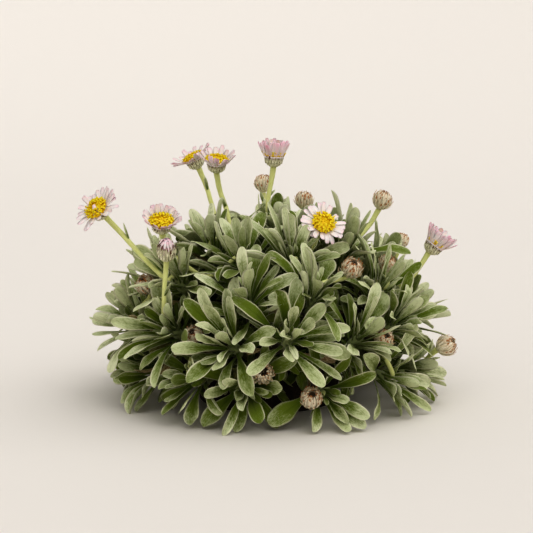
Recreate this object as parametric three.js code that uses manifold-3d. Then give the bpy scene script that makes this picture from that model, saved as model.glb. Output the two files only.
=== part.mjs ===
// Potted mountain everlasting: a dome of felted, leafy shoots with daisy heads, in a low fibre pot.
// Millimetres, +Z up, front towards -Y. The origin is the centre of the pot's flat underside.
// Every shoot stands in its own plain hole in the soil. Leaves grow by one rule with seeded draws.

import * as THREE from 'three';
import { mergeVertices } from 'three/addons/utils/BufferGeometryUtils.js';
import Module from 'manifold-3d';

const wasm = await Module();
wasm.setup();

// Pot and soil
const POT_HEIGHT = 26;
const POT_BASE_RADIUS = 34.5;
const POT_RIM_RADIUS = 38.5;
const POT_WALL = 2.6;
const POT_FLOOR = 3;
const POT_SIDES = 24;
const DRAIN_RADIUS = 3.5;
const DRAIN_CIRCLE = 20;
const DRAIN_HOLES = 4;
const DRAIN_SIDES = 8;
const SOIL_TOP = 23;
const SOIL_DOME = 1.8;
const GAP = 0.3;

// Stems: bare where they stand in the soil, clothed in old leaf bases further up, in rings of five points
const SIDES = 5;
const STEM_RADIUS = 1.5;
const STEM_FOOT = 17.5;
const COLLAR = 25.8;
const CLOTHED_RADIUS = 3.4;
const NECK_RADIUS = 2;
const NECK = -10;
const STEM_RADII = [STEM_RADIUS, STEM_RADIUS, 2.6, CLOTHED_RADIUS, NECK_RADIUS];
const TRUNK_RADII = [STEM_RADIUS, STEM_RADIUS, 2, 2.6, CLOTHED_RADIUS, NECK_RADIUS];
const BRANCH_RADII = [1.9, CLOTHED_RADIUS, NECK_RADIUS];
const FORK_RADIUS = 44;
const FORK_HEIGHT = 35;
const HOLE_SIDES = 5;
const HOLE_LENGTH = 12;

// The core of a rosette: rings along its axis, with their radii. Leaves grow from the strips between them
const CORE_RINGS = [[-7, 2.3], [-4.4, 2.9], [-1.8, 2.7], [0.8, 1.9]];
const CORE_TIP = 3.4;
const CORE_TWIST = -30;
const STRIP_AGE = [1, 0.55, 0.12];

// Rosettes, in rings from the ground to the top. Azimuth is that of the first one, out is the distance
// from the middle, which grows towards the right, and foot is the circle where the stems stand
const RINGS = [
  { name: 'low', count: 12, azimuth: -96, out: 61, height: 18.5, lean: 86, foot: 29 },
  { name: 'mid', count: 12, azimuth: -81, out: 62, height: 41, lean: 54, foot: 29 },
  { name: 'high', count: 9, azimuth: -104, out: 50, height: 61, lean: 38, foot: 20 },
  { name: 'crown', count: 7, azimuth: -64, out: 30, height: 74, lean: 20, foot: 12 },
  { name: 'top', count: 1, azimuth: 30, out: 3, height: 79, lean: 4, foot: 1.5 },
];
const [LOW, MID] = [0, 1];
const RIGHT_REACH = 8;
const JITTER = { azimuth: 5, out: 3, height: 3, lean: 9, side: 12 };

// How long the leaves of each ring are, how wide they spread and how much they turn to the ground
const LEAF_LENGTH = [30, 31, 32, 32, 31];
const OPENING = [46, 46, 44, 40, 38];
const DROOP = [0.5, 0.2, 0, 0, 0];

// A leaf of the oldest strip, what the youngest has of it, and how far each leaf may differ
const YOUNG_ANGLE = 6;
const BEND = { young: -8, more: 40 };
const YOUNG_SHARE = { length: 0.72, width: 0.74 };
const SPREAD = { age: 0.12, turn: 10, angle: 6, bend: 12, twist: 32, sway: 0.1 };
const SHARE = { length: [0.86, 1.1], width: [0.84, 1.1] };
const LEAF_SEED = 1000;
const RAY_SEED = 5000;

// Leaves: a spoon shape on a narrow petiole, a shallow channel above and a keel below
const LEAF_WIDTH = 8.6;
const PETIOLE = 0.26;
const BLADE_STATIONS = [0.46, 0.8];
const TIP_STATION = 0.985;
const TIP_WIDTH = 0.42;
const KEEL = 0.6;
const CHANNEL = 0.5;
const ROOT_PART = 0.06;
const LEAF_CLEARANCE = 0.15;
const POT_ROOM = 0.6;
const LEAF_ROOM = 0.9;
const GROUND_ROOM = 0.5;
const TRIES = 14;
const SIDE_STEPS = [0, 8, -8, 16, -16, 24, -24];

// Flower heads: kind, place of the middle, the way it faces, and a point its stalk bows through. An open
// head has the length of its rays and their lift in degrees, and a shut one its radius.
const HEADS = [
  { kind: 'bloom', at: [-82, -25, 98.5], facing: [-0.5, -0.62, 0.6], rays: 6.8, lift: 12, way: [-49, -35, 66] },
  { kind: 'bloom', at: [-51, -30, 92.5], facing: [0.06, -0.5, 0.86], rays: 5.8, lift: 44, way: [-30, -26, 66] },
  { kind: 'closing', at: [-47.5, -48, 82], facing: [0.05, -0.5, 0.86], radius: 5.6, way: [-49, -47.5, 58] },
  { kind: 'bloom', at: [-39, 48, 117], facing: [-0.45, -0.1, 0.88], rays: 7, lift: 28, way: [-27, 35, 86] },
  { kind: 'bloom', at: [-26, 15, 118], facing: [0.05, -0.3, 0.95], rays: 6.4, lift: 44, way: [-19, 5, 84] },
  { kind: 'cup', at: [3, 10, 121.5], facing: [0.05, -0.05, 1], rays: 7.8, lift: 70, way: [0, 5, 92] },
  { kind: 'bloom', at: [26.5, -25, 91.5], facing: [0.2, -0.74, 0.64], rays: 6, lift: 18, way: [12, -35, 68] },
  { kind: 'cup', at: [84, 5, 77.5], facing: [0.58, -0.05, 0.81], rays: 7.8, lift: 62, way: [66, 0, 57] },
  { kind: 'dried', at: [-2.5, 55, 103.5], facing: [0, 0.1, 1], radius: 5 },
  { kind: 'dried', at: [19, 45, 95.5], facing: [0.1, 0, 1], radius: 4.9 },
  { kind: 'dried', at: [59.5, 35, 96.5], facing: [0.35, 0, 0.93], radius: 5.3, way: [42, 20, 74] },
  { kind: 'dried', at: [39.5, -42, 72.5], facing: [0.25, -0.65, 0.72], radius: 5.2 },
  { kind: 'dried', at: [58.5, -14, 70.5], facing: [0.3, -0.5, 0.8], radius: 4.4 },
  { kind: 'dried', at: [70, 35, 75.5], facing: [0.35, 0.1, 0.9], radius: 4 },
  { kind: 'dried', at: [-60, -15, 60], facing: [-0.45, -0.45, 0.77], radius: 5.2 },
  { kind: 'dried', at: [-35, -50, 42], facing: [-0.15, -0.8, 0.58], radius: 4.4 },
  { kind: 'dried', at: [-2.5, -69, 28], facing: [0, -0.93, 0.36], radius: 5 },
  { kind: 'dried', at: [20, -69, 16], facing: [0.05, -0.75, 0.66], radius: 5.3 },
  { kind: 'dried', at: [55, -45, 39], facing: [0.25, -0.75, 0.6], radius: 4.6 },
  { kind: 'dried', at: [87, -22, 31], facing: [0.8, -0.35, 0.48], radius: 5.2 },
  { kind: 'dried', at: [-44, 62, 66], facing: [-0.45, 0.6, 0.66], radius: 4.8 },
  { kind: 'dried', at: [22, 78, 44], facing: [0.2, 0.85, 0.5], radius: 5 },
];
const STALK_RADIUS = 1.15;
const STALK_DEPTH = { bloom: 5.2, cup: 5.2, closing: 5.4, dried: 4.8 };
const RAY_COUNT = 16;
const FLORET_RADIUS = 5.2;

// The room each kind of head needs, as distances along its facing and radii
const HEAD_ROOM_SIDES = 8;
const LIFT_SPREAD = 12;
const HEAD_ROOM = {
  open: ({ rays, lift }) => {
    const top = rays * Math.sin(radians(lift + LIFT_SPREAD)) + 0.6;
    const out = FLORET_RADIUS + rays * Math.cos(radians(lift - LIFT_SPREAD)) + 0.6;
    return [[-6.9, 0], [-4, 5.4], [-0.5, 6.8], [top, out], [top + 1.4, 0]];
  },
  closing: () => [[-6.9, 0], [-3, 5.8], [2, 5.8], [7, 0]],
  dried: ({ radius: r }) => [[-r - 0.2, 0], [-r * 0.5, r], [r * 0.4, r + 0.3], [r + 0.3, 0]],
};

const UP = new THREE.Vector3(0, 0, 1);
const FRONT = new THREE.Vector3(0, 1, 0);
const TAU = 2 * Math.PI;
const radians = THREE.MathUtils.degToRad;

// Seeded draws
const MODULUS = 4294967296;

class Draw {
  constructor(seed) {
    this.state = (seed * 2654435761 + 12345) % MODULUS;
    for (let i = 0; i < 3; i++) this.next();
  }

  next() {
    this.state = (this.state * 1664525 + 1013904223) % MODULUS;
    return this.state / MODULUS;
  }

  between(low, high) {
    return low + (high - low) * this.next();
  }
}

// Vectors
const vector = (place) => new THREE.Vector3(...place);
const cross = (a, b) => new THREE.Vector3().crossVectors(a, b);

function mix(...pairs) {
  return pairs.reduce((sum, [v, weight]) => sum.addScaledVector(v, weight), new THREE.Vector3());
}

function around(azimuth, out, height) {
  return new THREE.Vector3(out * Math.cos(radians(azimuth)), out * Math.sin(radians(azimuth)), height);
}

// Two directions square to an axis: a level one and, counter-clockwise from it, the rising one
function squareTo(axis) {
  const level = cross(Math.abs(axis.z) < 0.9 ? UP : FRONT, axis).normalize();
  return [level, cross(axis, level)];
}

function hermite(from, to, leaving, arriving, steps) {
  return Array.from({ length: steps + 1 }, (_, i) => {
    const s = i / steps;
    const s2 = s * s;
    const s3 = s2 * s;
    const start = mix([from, 2 * s3 - 3 * s2 + 1], [leaving, s3 - 2 * s2 + s]);
    return mix([start, 1], [to, 3 * s2 - 2 * s3], [arriving, s3 - s2]);
  });
}

// A closed shape through rings of points. Each ring turns counter-clockwise round the way to the next one,
// which has as many points, twice as many or a single one. The end rings are capped flat. A leaf given for
// a side of a strip grows from the lower triangle there instead of closing it
function loft(rings, leafOn = () => null) {
  const points = rings.flat();
  const faces = [];
  let a = 0;
  for (let i = 0; i + 1 < rings.length; i++) {
    const [m, n] = [rings[i].length, rings[i + 1].length];
    const b = a + m;
    for (let k = 0; k < Math.max(m, n === 1 ? m : 1); k++) {
      const next = (k + 1) % m;
      if (m === 1) {
        for (let l = 0; l < n; l++) faces.push([a, b + ((l + 1) % n), b + l]);
      } else if (n === 1) {
        faces.push([a + k, a + next, b]);
      } else if (n === 2 * m) {
        const [p, q, r] = [b + 2 * k, b + 2 * k + 1, b + ((2 * k + 2) % n)];
        faces.push([a + k, q, p], [a + k, a + next, q], [a + next, r, q]);
      } else {
        faces.push([a + k, a + next, b + next]);
        const leaf = leafOn(i, k);
        if (leaf) growBlade(points, faces, [b + next, b + k, a + k], leaf);
        else faces.push([a + k, b + next, b + k]);
      }
    }
    a = b;
  }
  const end = rings[rings.length - 1].length;
  for (let k = 1; k + 1 < rings[0].length; k++) faces.push([0, k + 1, k]);
  for (let k = 1; k + 1 < end; k++) faces.push([a, a + k, a + k + 1]);
  return { points, faces };
}

// A blade from three points that are there already: its stations, then the two points of its blunt tip
function growBlade(points, faces, root, { stations, tip }) {
  let from = root;
  for (const station of stations) {
    const to = station.map((p, i) => points.length + i);
    points.push(...station);
    for (let i = 0; i < 3; i++) {
      const j = (i + 1) % 3;
      faces.push([from[i], from[j], to[j]], [from[i], to[j], to[i]]);
    }
    from = to;
  }
  const [left, right, keel] = from;
  const [tipLeft, tipRight] = [points.length, points.length + 1];
  points.push(...tip);
  faces.push([left, right, tipRight], [left, tipRight, tipLeft]);
  faces.push([right, keel, tipRight], [keel, left, tipLeft], [keel, tipLeft, tipRight]);
}

// Five-sided rings round a path, carried along it without twisting unless a twist is given. The last one
// is square to the direction end
function ringsAlong(points, radii, twists, end) {
  let across = null;
  return points.map((p, i) => {
    const before = points[Math.max(i - 1, 0)];
    const after = points[Math.min(i + 1, points.length - 1)];
    const along = i + 1 < points.length ? after.clone().sub(before).normalize() : end;
    const first = across ?? new THREE.Vector3(0.3, 0.9, 0.1);
    across = mix([first, 1], [along, -first.dot(along)]).normalize();
    const up = cross(along, across);
    return Array.from({ length: SIDES }, (_, k) => {
      const w = (TAU * k) / SIDES + radians(twists[i]);
      return mix([p, 1], [across, radii[i] * Math.cos(w)], [up, radii[i] * Math.sin(w)]);
    });
  });
}

// A round body on an axis from [along, radius] pairs. Where a pair has a relief, every other point of the
// ring is drawn in and back by it, and rings in relief are turned half a side against each other
function turned(at, axis, profile, sides) {
  const [a, b] = squareTo(axis);
  let reliefs = 0;
  return loft(profile.map(([along, radius, relief = 0]) => {
    if (radius === 0) return [mix([at, 1], [axis, along])];
    if (relief) reliefs++;
    return Array.from({ length: sides }, (_, k) => {
      const w = (TAU * k) / sides;
      const drawn = (k + reliefs) % 2 ? relief : 0;
      const r = radius - drawn;
      return mix([at, 1], [axis, along - drawn], [a, r * Math.cos(w)], [b, r * Math.sin(w)]);
    });
  }));
}

// Solids
function solid({ points, faces }) {
  const vertProperties = new Float32Array(points.flatMap((p) => [p.x, p.y, p.z]));
  const triVerts = new Uint32Array(faces.flat());
  return new wasm.Manifold(new wasm.Mesh({ numProp: 3, vertProperties, triVerts }));
}

function solidOf(geometry) {
  const bare = geometry.clone();
  bare.deleteAttribute('normal');
  bare.deleteAttribute('uv');
  const merged = mergeVertices(bare, 1e-4);
  const place = merged.getAttribute('position');
  const pointAt = (_, i) => new THREE.Vector3().fromBufferAttribute(place, i);
  const points = Array.from({ length: place.count }, pointAt);
  const index = Array.from(merged.getIndex().array);
  const faces = [];
  for (let i = 0; i < index.length; i += 3) {
    const [p, q, r] = index.slice(i, i + 3);
    if (p !== q && q !== r && r !== p) faces.push([p, q, r]);
  }
  return solid({ points, faces });
}

function fuse(shapes) {
  return shapes.map(solid).reduce((sum, next) => sum.add(next));
}

function meshOf(name, body, material) {
  const { vertProperties, triVerts } = body.getMesh();
  const geometry = new THREE.BufferGeometry();
  geometry.setAttribute('position', new THREE.BufferAttribute(new Float32Array(vertProperties), 3));
  geometry.setIndex(Array.from(triVerts));
  geometry.computeVertexNormals();
  const mesh = new THREE.Mesh(geometry, material);
  mesh.name = name;
  return mesh;
}

// Rosettes
function placeRosettes() {
  return RINGS.flatMap((ring, level) => Array.from({ length: ring.count }, (_, k) => {
    const draw = new Draw(100 * level + k + 1);
    const azimuth = ring.azimuth + (360 * k) / ring.count + draw.between(-JITTER.azimuth, JITTER.azimuth);
    const reach = RIGHT_REACH * Math.max(0, Math.cos(radians(azimuth)));
    const out = ring.out + reach + draw.between(-JITTER.out, JITTER.out);
    const height = ring.height + draw.between(-JITTER.height, JITTER.height);
    const lean = radians(ring.lean + draw.between(-JITTER.lean, JITTER.lean));
    const side = draw.between(-JITTER.side, JITTER.side);
    const axis = around(azimuth + side, Math.sin(lean), Math.cos(lean)).normalize();
    const leafDraw = new Draw(LEAF_SEED + 100 * level + k);
    return { ring, level, azimuth, at: around(azimuth, out, height), axis, draw: leafDraw };
  }));
}

// Each rosette stands on a spine: its stem, its core, then a tip or a flower stalk with its cup of bracts.
// A mid and a low rosette share a shoot: the low one branches from the other's stem
function placeShoots(rosettes) {
  const numbers = (level) => rosettes.map((r, j) => j).filter((j) => rosettes[j].level === level);
  const foot = (azimuth, out) => [around(azimuth, out, STEM_FOOT), around(azimuth, out, COLLAR)];
  const neck = ({ at, axis }) => mix([at, 1], [axis, NECK]);
  const shoots = [];
  numbers(MID).forEach((mid, k) => {
    const low = numbers(LOW)[k];
    const azimuth = (rosettes[low].azimuth + rosettes[mid].azimuth) / 2;
    const outward = around(azimuth, 1, 0);
    const [base, collar] = foot(azimuth, RINGS[LOW].foot);
    const fork = around(azimuth, FORK_RADIUS, FORK_HEIGHT);
    const over = mix([outward, 0.95], [UP, 0.3]).normalize().multiplyScalar(16);
    const trunk = [base, ...hermite(collar, fork, mix([UP, 18]), over, 2)];
    const branch = (j, lead) => {
      const end = neck(rosettes[j]);
      const reach = end.distanceTo(fork);
      return hermite(fork, end, mix([lead.normalize(), reach]), mix([rosettes[j].axis, reach * 0.9]), 2);
    };
    const toMid = [...trunk, ...branch(mid, outward.clone()).slice(1)];
    const toLow = branch(low, mix([outward, 0.9], [UP, -0.5]));
    shoots.push({
      name: `shoot_low_mid_${k + 1}`,
      stems: [
        { rosette: mid, points: toMid, radii: TRUNK_RADII },
        { rosette: low, points: toLow, radii: BRANCH_RADII },
      ],
    });
  });
  for (const level of [2, 3, 4]) {
    numbers(level).forEach((j, k) => {
      const { ring, azimuth, axis } = rosettes[j];
      const [base, collar] = foot(azimuth, ring.foot);
      const end = neck(rosettes[j]);
      const reach = end.distanceTo(collar);
      const rise = hermite(collar, end, mix([UP, reach * 0.9]), mix([axis, reach * 0.7]), 3);
      const stem = { rosette: j, points: [base, ...rise], radii: STEM_RADII };
      shoots.push({ name: `shoot_${ring.name}_${k + 1}`, stems: [stem] });
    });
  }
  return shoots;
}

// Each head with its stalk, which grows from the nearest rosette that has none yet
function placeHeads(rosettes) {
  const taken = new Set();
  return HEADS.map((head) => {
    const at = vector(head.at);
    const facing = vector(head.facing).normalize();
    const base = mix([at, 1], [facing, -STALK_DEPTH[head.kind]]);
    const aim = head.way ? vector(head.way) : mix([base, 1], [facing, -8]);
    const away = (j) => mix([rosettes[j].at, 1], [rosettes[j].axis, 10]).distanceTo(aim);
    const free = rosettes.map((r, j) => j).filter((j) => !taken.has(j));
    const rosette = free.reduce((best, j) => (away(j) < away(best) ? j : best));
    taken.add(rosette);
    const { at: middle, axis } = rosettes[rosette];
    const root = mix([middle, 1], [axis, CORE_TIP]);
    let points;
    if (head.way) {
      const along = base.clone().sub(root).normalize();
      const [first, second] = [aim.distanceTo(root), base.distanceTo(aim)];
      const rise = hermite(root, aim, mix([axis, first * 0.9]), mix([along, first]), 3);
      const reach = hermite(aim, base, mix([along, second]), mix([facing, second * 0.9]), 3);
      points = [...rise, ...reach.slice(1)];
    } else {
      const reach = base.distanceTo(root);
      points = hermite(root, base, mix([axis, reach * 0.8]), mix([facing, reach * 0.8]), 4);
    }
    return { ...head, at, facing, rosette, points };
  });
}

// The rings of one spine, and where the first strip of its core lies among them
function placeSpine(stem, rosettes, heads) {
  const { at, axis } = rosettes[stem.rosette];
  const head = heads.find(({ rosette }) => rosette === stem.rosette);
  const core = CORE_RINGS.map(([along]) => mix([at, 1], [axis, along]));
  const stalk = head ? head.points : [];
  const points = [...stem.points, ...core, ...stalk];
  const radii = [...stem.radii, ...CORE_RINGS.map(([, r]) => r), ...stalk.map(() => STALK_RADIUS)];
  const first = stem.points.length;
  const along = (i) => THREE.MathUtils.clamp(i - first, 0, CORE_RINGS.length - 1);
  const twists = points.map((p, i) => CORE_TWIST * along(i));
  const rings = ringsAlong(points, radii, twists, head ? head.facing : axis);
  if (!head) rings.push([mix([at, 1], [axis, CORE_TIP])]);
  const cup = head && CUPS[head.kind];
  if (cup) rings.push(...cupRings(head, cup, rings[rings.length - 1][0]));
  return { rosette: stem.rosette, rings, first };
}

// The rings of a cup of bracts or a bud. The first point stands where the stalk's last ring has its own,
// and every other point of a ring in relief is drawn in and back
function cupRings({ at, facing }, profile, start) {
  const from = start.clone().sub(at);
  const a = mix([from, 1], [facing, -from.dot(facing)]).normalize();
  const b = cross(facing, a);
  return profile.map(([along, radius, relief = 0], ring) => {
    if (radius === 0) return [mix([at, 1], [facing, along])];
    return Array.from({ length: 2 * SIDES }, (_, k) => {
      const w = (TAU * k) / (2 * SIDES);
      const drawn = (k + ring) % 2 ? relief : 0;
      const r = radius - drawn;
      return mix([at, 1], [facing, along - drawn], [a, r * Math.cos(w)], [b, r * Math.sin(w)]);
    });
  });
}

// Leaves
const smooth = (t) => THREE.MathUtils.smoothstep(t, 0, 1);

function leafWidth(s) {
  const blade = PETIOLE + (1 - PETIOLE) * smooth((s - 0.2) / 0.5);
  return s > 0.74 ? blade * Math.sqrt(Math.max(0, 1 - ((s - 0.74) / 0.26) ** 2)) : blade;
}

// The point, side and upper normal of a leaf's midline, an arc in the plane of its axis and way out
function leafFrame(leaf, s) {
  const { root, axis, out, side, length, angle, bend, sway, twist } = leaf;
  const turn = angle + bend * s;
  const straight = Math.abs(bend) < 1e-3;
  const up = straight ? Math.cos(angle) * s : (Math.sin(turn) - Math.sin(angle)) / bend;
  const away = straight ? Math.sin(angle) * s : (Math.cos(angle) - Math.cos(turn)) / bend;
  const point = mix([root, 1], [axis, length * up], [out, length * away], [side, length * sway * s * s]);
  const along = mix([axis, Math.cos(turn)], [out, Math.sin(turn)], [side, 2 * sway * s]).normalize();
  const level = mix([side, 1], [along, -side.dot(along)]).normalize();
  const normal = cross(along, level);
  const [c, n] = [Math.cos(twist * s), Math.sin(twist * s)];
  return { point, across: mix([level, c], [normal, n]), normal: mix([normal, c], [level, -n]) };
}

// A leaf as a three-sided blade: its stations and its tip, grown by a clearance on all sides where asked
function blade(leaf, grown = 0) {
  const stations = BLADE_STATIONS.map((s) => {
    const { point, across, normal } = leafFrame(leaf, s);
    const half = (leaf.width * leafWidth(s)) / 2 + grown;
    const channel = CHANNEL * Math.min(1, leafWidth(s) * 1.2) + grown * 0.5;
    return [
      mix([point, 1], [across, half], [normal, channel]),
      mix([point, 1], [across, -half], [normal, channel]),
      mix([point, 1], [normal, -KEEL - grown]),
    ];
  });
  const { point, across, normal } = leafFrame(leaf, TIP_STATION);
  const half = (leaf.width * TIP_WIDTH) / 2;
  const tip = [half, -half].map((x) => mix([point, 1], [across, x], [normal, CHANNEL * 0.3]));
  return { stations, tip };
}

// The blade with its three root points, which the free part has moved a little way out
function leafBody(leaf, grown, owner) {
  const { stations, tip } = blade(leaf, grown);
  const whole = { points: [...leaf.base], faces: [] };
  growBlade(whole.points, whole.faces, [0, 1, 2], { stations, tip });
  const points = whole.points.map((p, i) => (i < 3 ? p.clone().lerp(stations[0][i], ROOT_PART) : p));
  return obstacle(whole, owner, { points, faces: whole.faces });
}

// Obstacles: what a leaf has to grow clear of. The free part is what leaves of the same rosette mind
function obstacle(shape, owner, free = shape) {
  const box = new THREE.Box3().setFromPoints(shape.points);
  const centre = box.getCenter(new THREE.Vector3());
  const radius = Math.max(...shape.points.map((p) => p.distanceTo(centre)));
  return { whole: trianglesAndEdges(shape), free: trianglesAndEdges(free), owner, centre, radius };
}

function trianglesAndEdges({ points, faces }) {
  const flat = (list) => Float64Array.from(list.flatMap((i) => [points[i].x, points[i].y, points[i].z]));
  const seen = new Set();
  const edges = [];
  for (const [p, q, r] of faces) {
    for (const [a, b] of [[p, q], [q, r], [r, p]]) {
      const key = Math.min(a, b) * 100000 + Math.max(a, b);
      if (seen.has(key)) continue;
      seen.add(key);
      edges.push(a, b);
    }
  }
  return { triangles: flat(faces.flat()), edges: flat(edges) };
}

// True if a line from o to o + d passes through the triangle at t (Möller and Trumbore's test)
function pierces(edges, e, triangles, t) {
  const [ox, oy, oz] = [edges[e], edges[e + 1], edges[e + 2]];
  const [dx, dy, dz] = [edges[e + 3] - ox, edges[e + 4] - oy, edges[e + 5] - oz];
  const [ax, ay, az] = [triangles[t], triangles[t + 1], triangles[t + 2]];
  const [ux, uy, uz] = [triangles[t + 3] - ax, triangles[t + 4] - ay, triangles[t + 5] - az];
  const [vx, vy, vz] = [triangles[t + 6] - ax, triangles[t + 7] - ay, triangles[t + 8] - az];
  const [hx, hy, hz] = [dy * vz - dz * vy, dz * vx - dx * vz, dx * vy - dy * vx];
  const det = ux * hx + uy * hy + uz * hz;
  if (Math.abs(det) <= 1e-12) return false;
  const [sx, sy, sz] = [ox - ax, oy - ay, oz - az];
  const u = (sx * hx + sy * hy + sz * hz) / det;
  if (u < 0 || u > 1) return false;
  const [qx, qy, qz] = [sy * uz - sz * uy, sz * ux - sx * uz, sx * uy - sy * ux];
  const v = (dx * qx + dy * qy + dz * qz) / det;
  if (v < 0 || u + v > 1) return false;
  const w = (vx * qx + vy * qy + vz * qz) / det;
  return w >= 0 && w <= 1;
}

function meets(a, b) {
  for (let e = 0; e < a.edges.length; e += 6) {
    for (let t = 0; t < b.triangles.length; t += 9) if (pierces(a.edges, e, b.triangles, t)) return true;
  }
  return false;
}

function crossesAny(body, others) {
  return others.some((other) => {
    if (body.centre.distanceTo(other.centre) >= body.radius + other.radius) return false;
    const part = body.owner === other.owner ? 'free' : 'whole';
    return meets(body[part], other[part]) || meets(other[part], body[part]);
  });
}

// Clear of the pot, the soil and the ground
function standsFree(points) {
  return points.every((p) => {
    const out = Math.hypot(p.x, p.y);
    const share = THREE.MathUtils.clamp(p.z / POT_HEIGHT, 0, 1);
    const wall = POT_BASE_RADIUS + (POT_RIM_RADIUS - POT_BASE_RADIUS) * share + LEAF_ROOM;
    return p.z > GROUND_ROOM && !(p.z < POT_HEIGHT + LEAF_ROOM && out < wall);
  });
}

// One leaf of a rosette, from one side of one strip of its core. Later tries turn it aside, raise it and
// make it a little smaller
function growLeaf(rosette, spine, strip, side, bodies) {
  const { level: height, axis, draw } = rosette;
  const [lower, upper] = [spine.rings[spine.first + strip], spine.rings[spine.first + strip + 1]];
  const base = [upper[(side + 1) % SIDES], upper[side], lower[side]];
  const root = mix([base[0], 0.35], [base[1], 0.35], [base[2], 0.3]);
  const middle = mix([rosette.at, 1], [axis, root.clone().sub(rosette.at).dot(axis)]);
  const [level, rising] = squareTo(axis);
  const outward = root.clone().sub(middle);
  const azimuth = Math.atan2(outward.dot(level), outward.dot(rising));
  const either = (most) => draw.between(-most, most);
  const age = STRIP_AGE[strip] + either(SPREAD.age);
  const turn = either(SPREAD.turn);
  const angle = radians(YOUNG_ANGLE + OPENING[height] * age ** 0.85 + either(SPREAD.angle));
  const bend = radians(BEND.young + BEND.more * age + either(SPREAD.bend));
  const share = (young) => young + (1 - young) * age;
  const length = LEAF_LENGTH[height] * share(YOUNG_SHARE.length) * draw.between(...SHARE.length);
  const width = LEAF_WIDTH * share(YOUNG_SHARE.width) * draw.between(...SHARE.width);
  const twist = radians(either(SPREAD.twist));
  const sway = either(SPREAD.sway);
  for (let n = 0; n < TRIES; n++) {
    let phi = azimuth + radians(turn + SIDE_STEPS[n % SIDE_STEPS.length]);
    phi += DROOP[height] * Math.sin(phi);
    const pull = 1 - 0.075 * Math.floor(n / 2);
    const out = mix([rising, Math.cos(phi)], [level, Math.sin(phi)]);
    const leaf = { base, root, axis, out, side: cross(axis, out), twist, sway };
    Object.assign(leaf, { angle: angle * pull, bend: bend * pull });
    Object.assign(leaf, { length: length * (1 - 0.022 * n), width: width * (1 - 0.012 * n) });
    const { stations, tip } = blade(leaf, LEAF_CLEARANCE);
    if (!standsFree([...stations.flat(), ...tip])) continue;
    const body = leafBody(leaf, LEAF_CLEARANCE, spine.rosette);
    if (!crossesAny(body, bodies)) return { leaf, body };
  }
  return null;
}

// Leaves of all rosettes, the lowest strip of each first. Each is kept by its strip and side
function growLeaves(rosettes, spines, heads) {
  const [foot, rim, top] = [POT_BASE_RADIUS, POT_RIM_RADIUS, POT_HEIGHT].map((size) => size + POT_ROOM);
  const potRoom = [[0, 0], [0, foot], [top, rim], [top, 0]];
  const bodies = [obstacle(turned(new THREE.Vector3(), UP, potRoom, POT_SIDES), 'pot')];
  for (const { rings, rosette } of spines) {
    for (let i = 0; i + 1 < rings.length; i++) {
      bodies.push(obstacle(loft(rings.slice(i, i + 2)), rosette));
    }
  }
  for (const head of heads) {
    const room = HEAD_ROOM[head.rays ? 'open' : head.kind](head);
    bodies.push(obstacle(turned(head.at, head.facing, room, HEAD_ROOM_SIDES), 'head'));
  }
  const leaves = rosettes.map(() => ({}));
  for (let strip = 0; strip < STRIP_AGE.length; strip++) {
    for (let side = 0; side < SIDES; side++) {
      for (const spine of spines) {
        const grown = growLeaf(rosettes[spine.rosette], spine, strip, side, bodies);
        if (!grown) continue;
        bodies.push(grown.body);
        leaves[spine.rosette][`${strip} ${side}`] = grown.leaf;
      }
    }
  }
  return leaves;
}

// Heads: cups of bracts and a bud at the ends of stalks, then the pieces that sit on them
const CUPS = {
  bloom: [[-4.6, 4.3, 0.3], [-2.6, 5.4, 0.5], [-0.9, 5.8, 0.6], [-1.4, 4.4]],
  cup: [[-4.6, 4.3, 0.3], [-2.6, 5.4, 0.5], [-0.9, 5.8, 0.6], [-1.4, 4.4]],
  closing: [[-4.7, 3.9, 0.3], [-2, 5.4, 0.5], [1.4, 5.1, 0.6], [3, 3.7]],
};
const FLORET_PROFILE = [[0.5, 4.9], [1.1, 5.2, 0.5], [2, 4, 0.5], [2.7, 2.1, 0.4], [2.8, 0]];
const FLORET_SIDES = 12;
const TUFT_PROFILE = [[3.3, 3.1], [5.2, 3.4, 0.7], [6.8, 2.4, 0.7], [6.4, 0]];
const TUFT_SIDES = 10;
const GLOBE_SIDES = 8;
const RAY_PLATE = [-0.6, 0.2];
const RAY_MIDDLE = { halfWidth: 1, halfThickness: 0.3 };
const RAY_TIP_HALF = 0.7;

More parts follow.
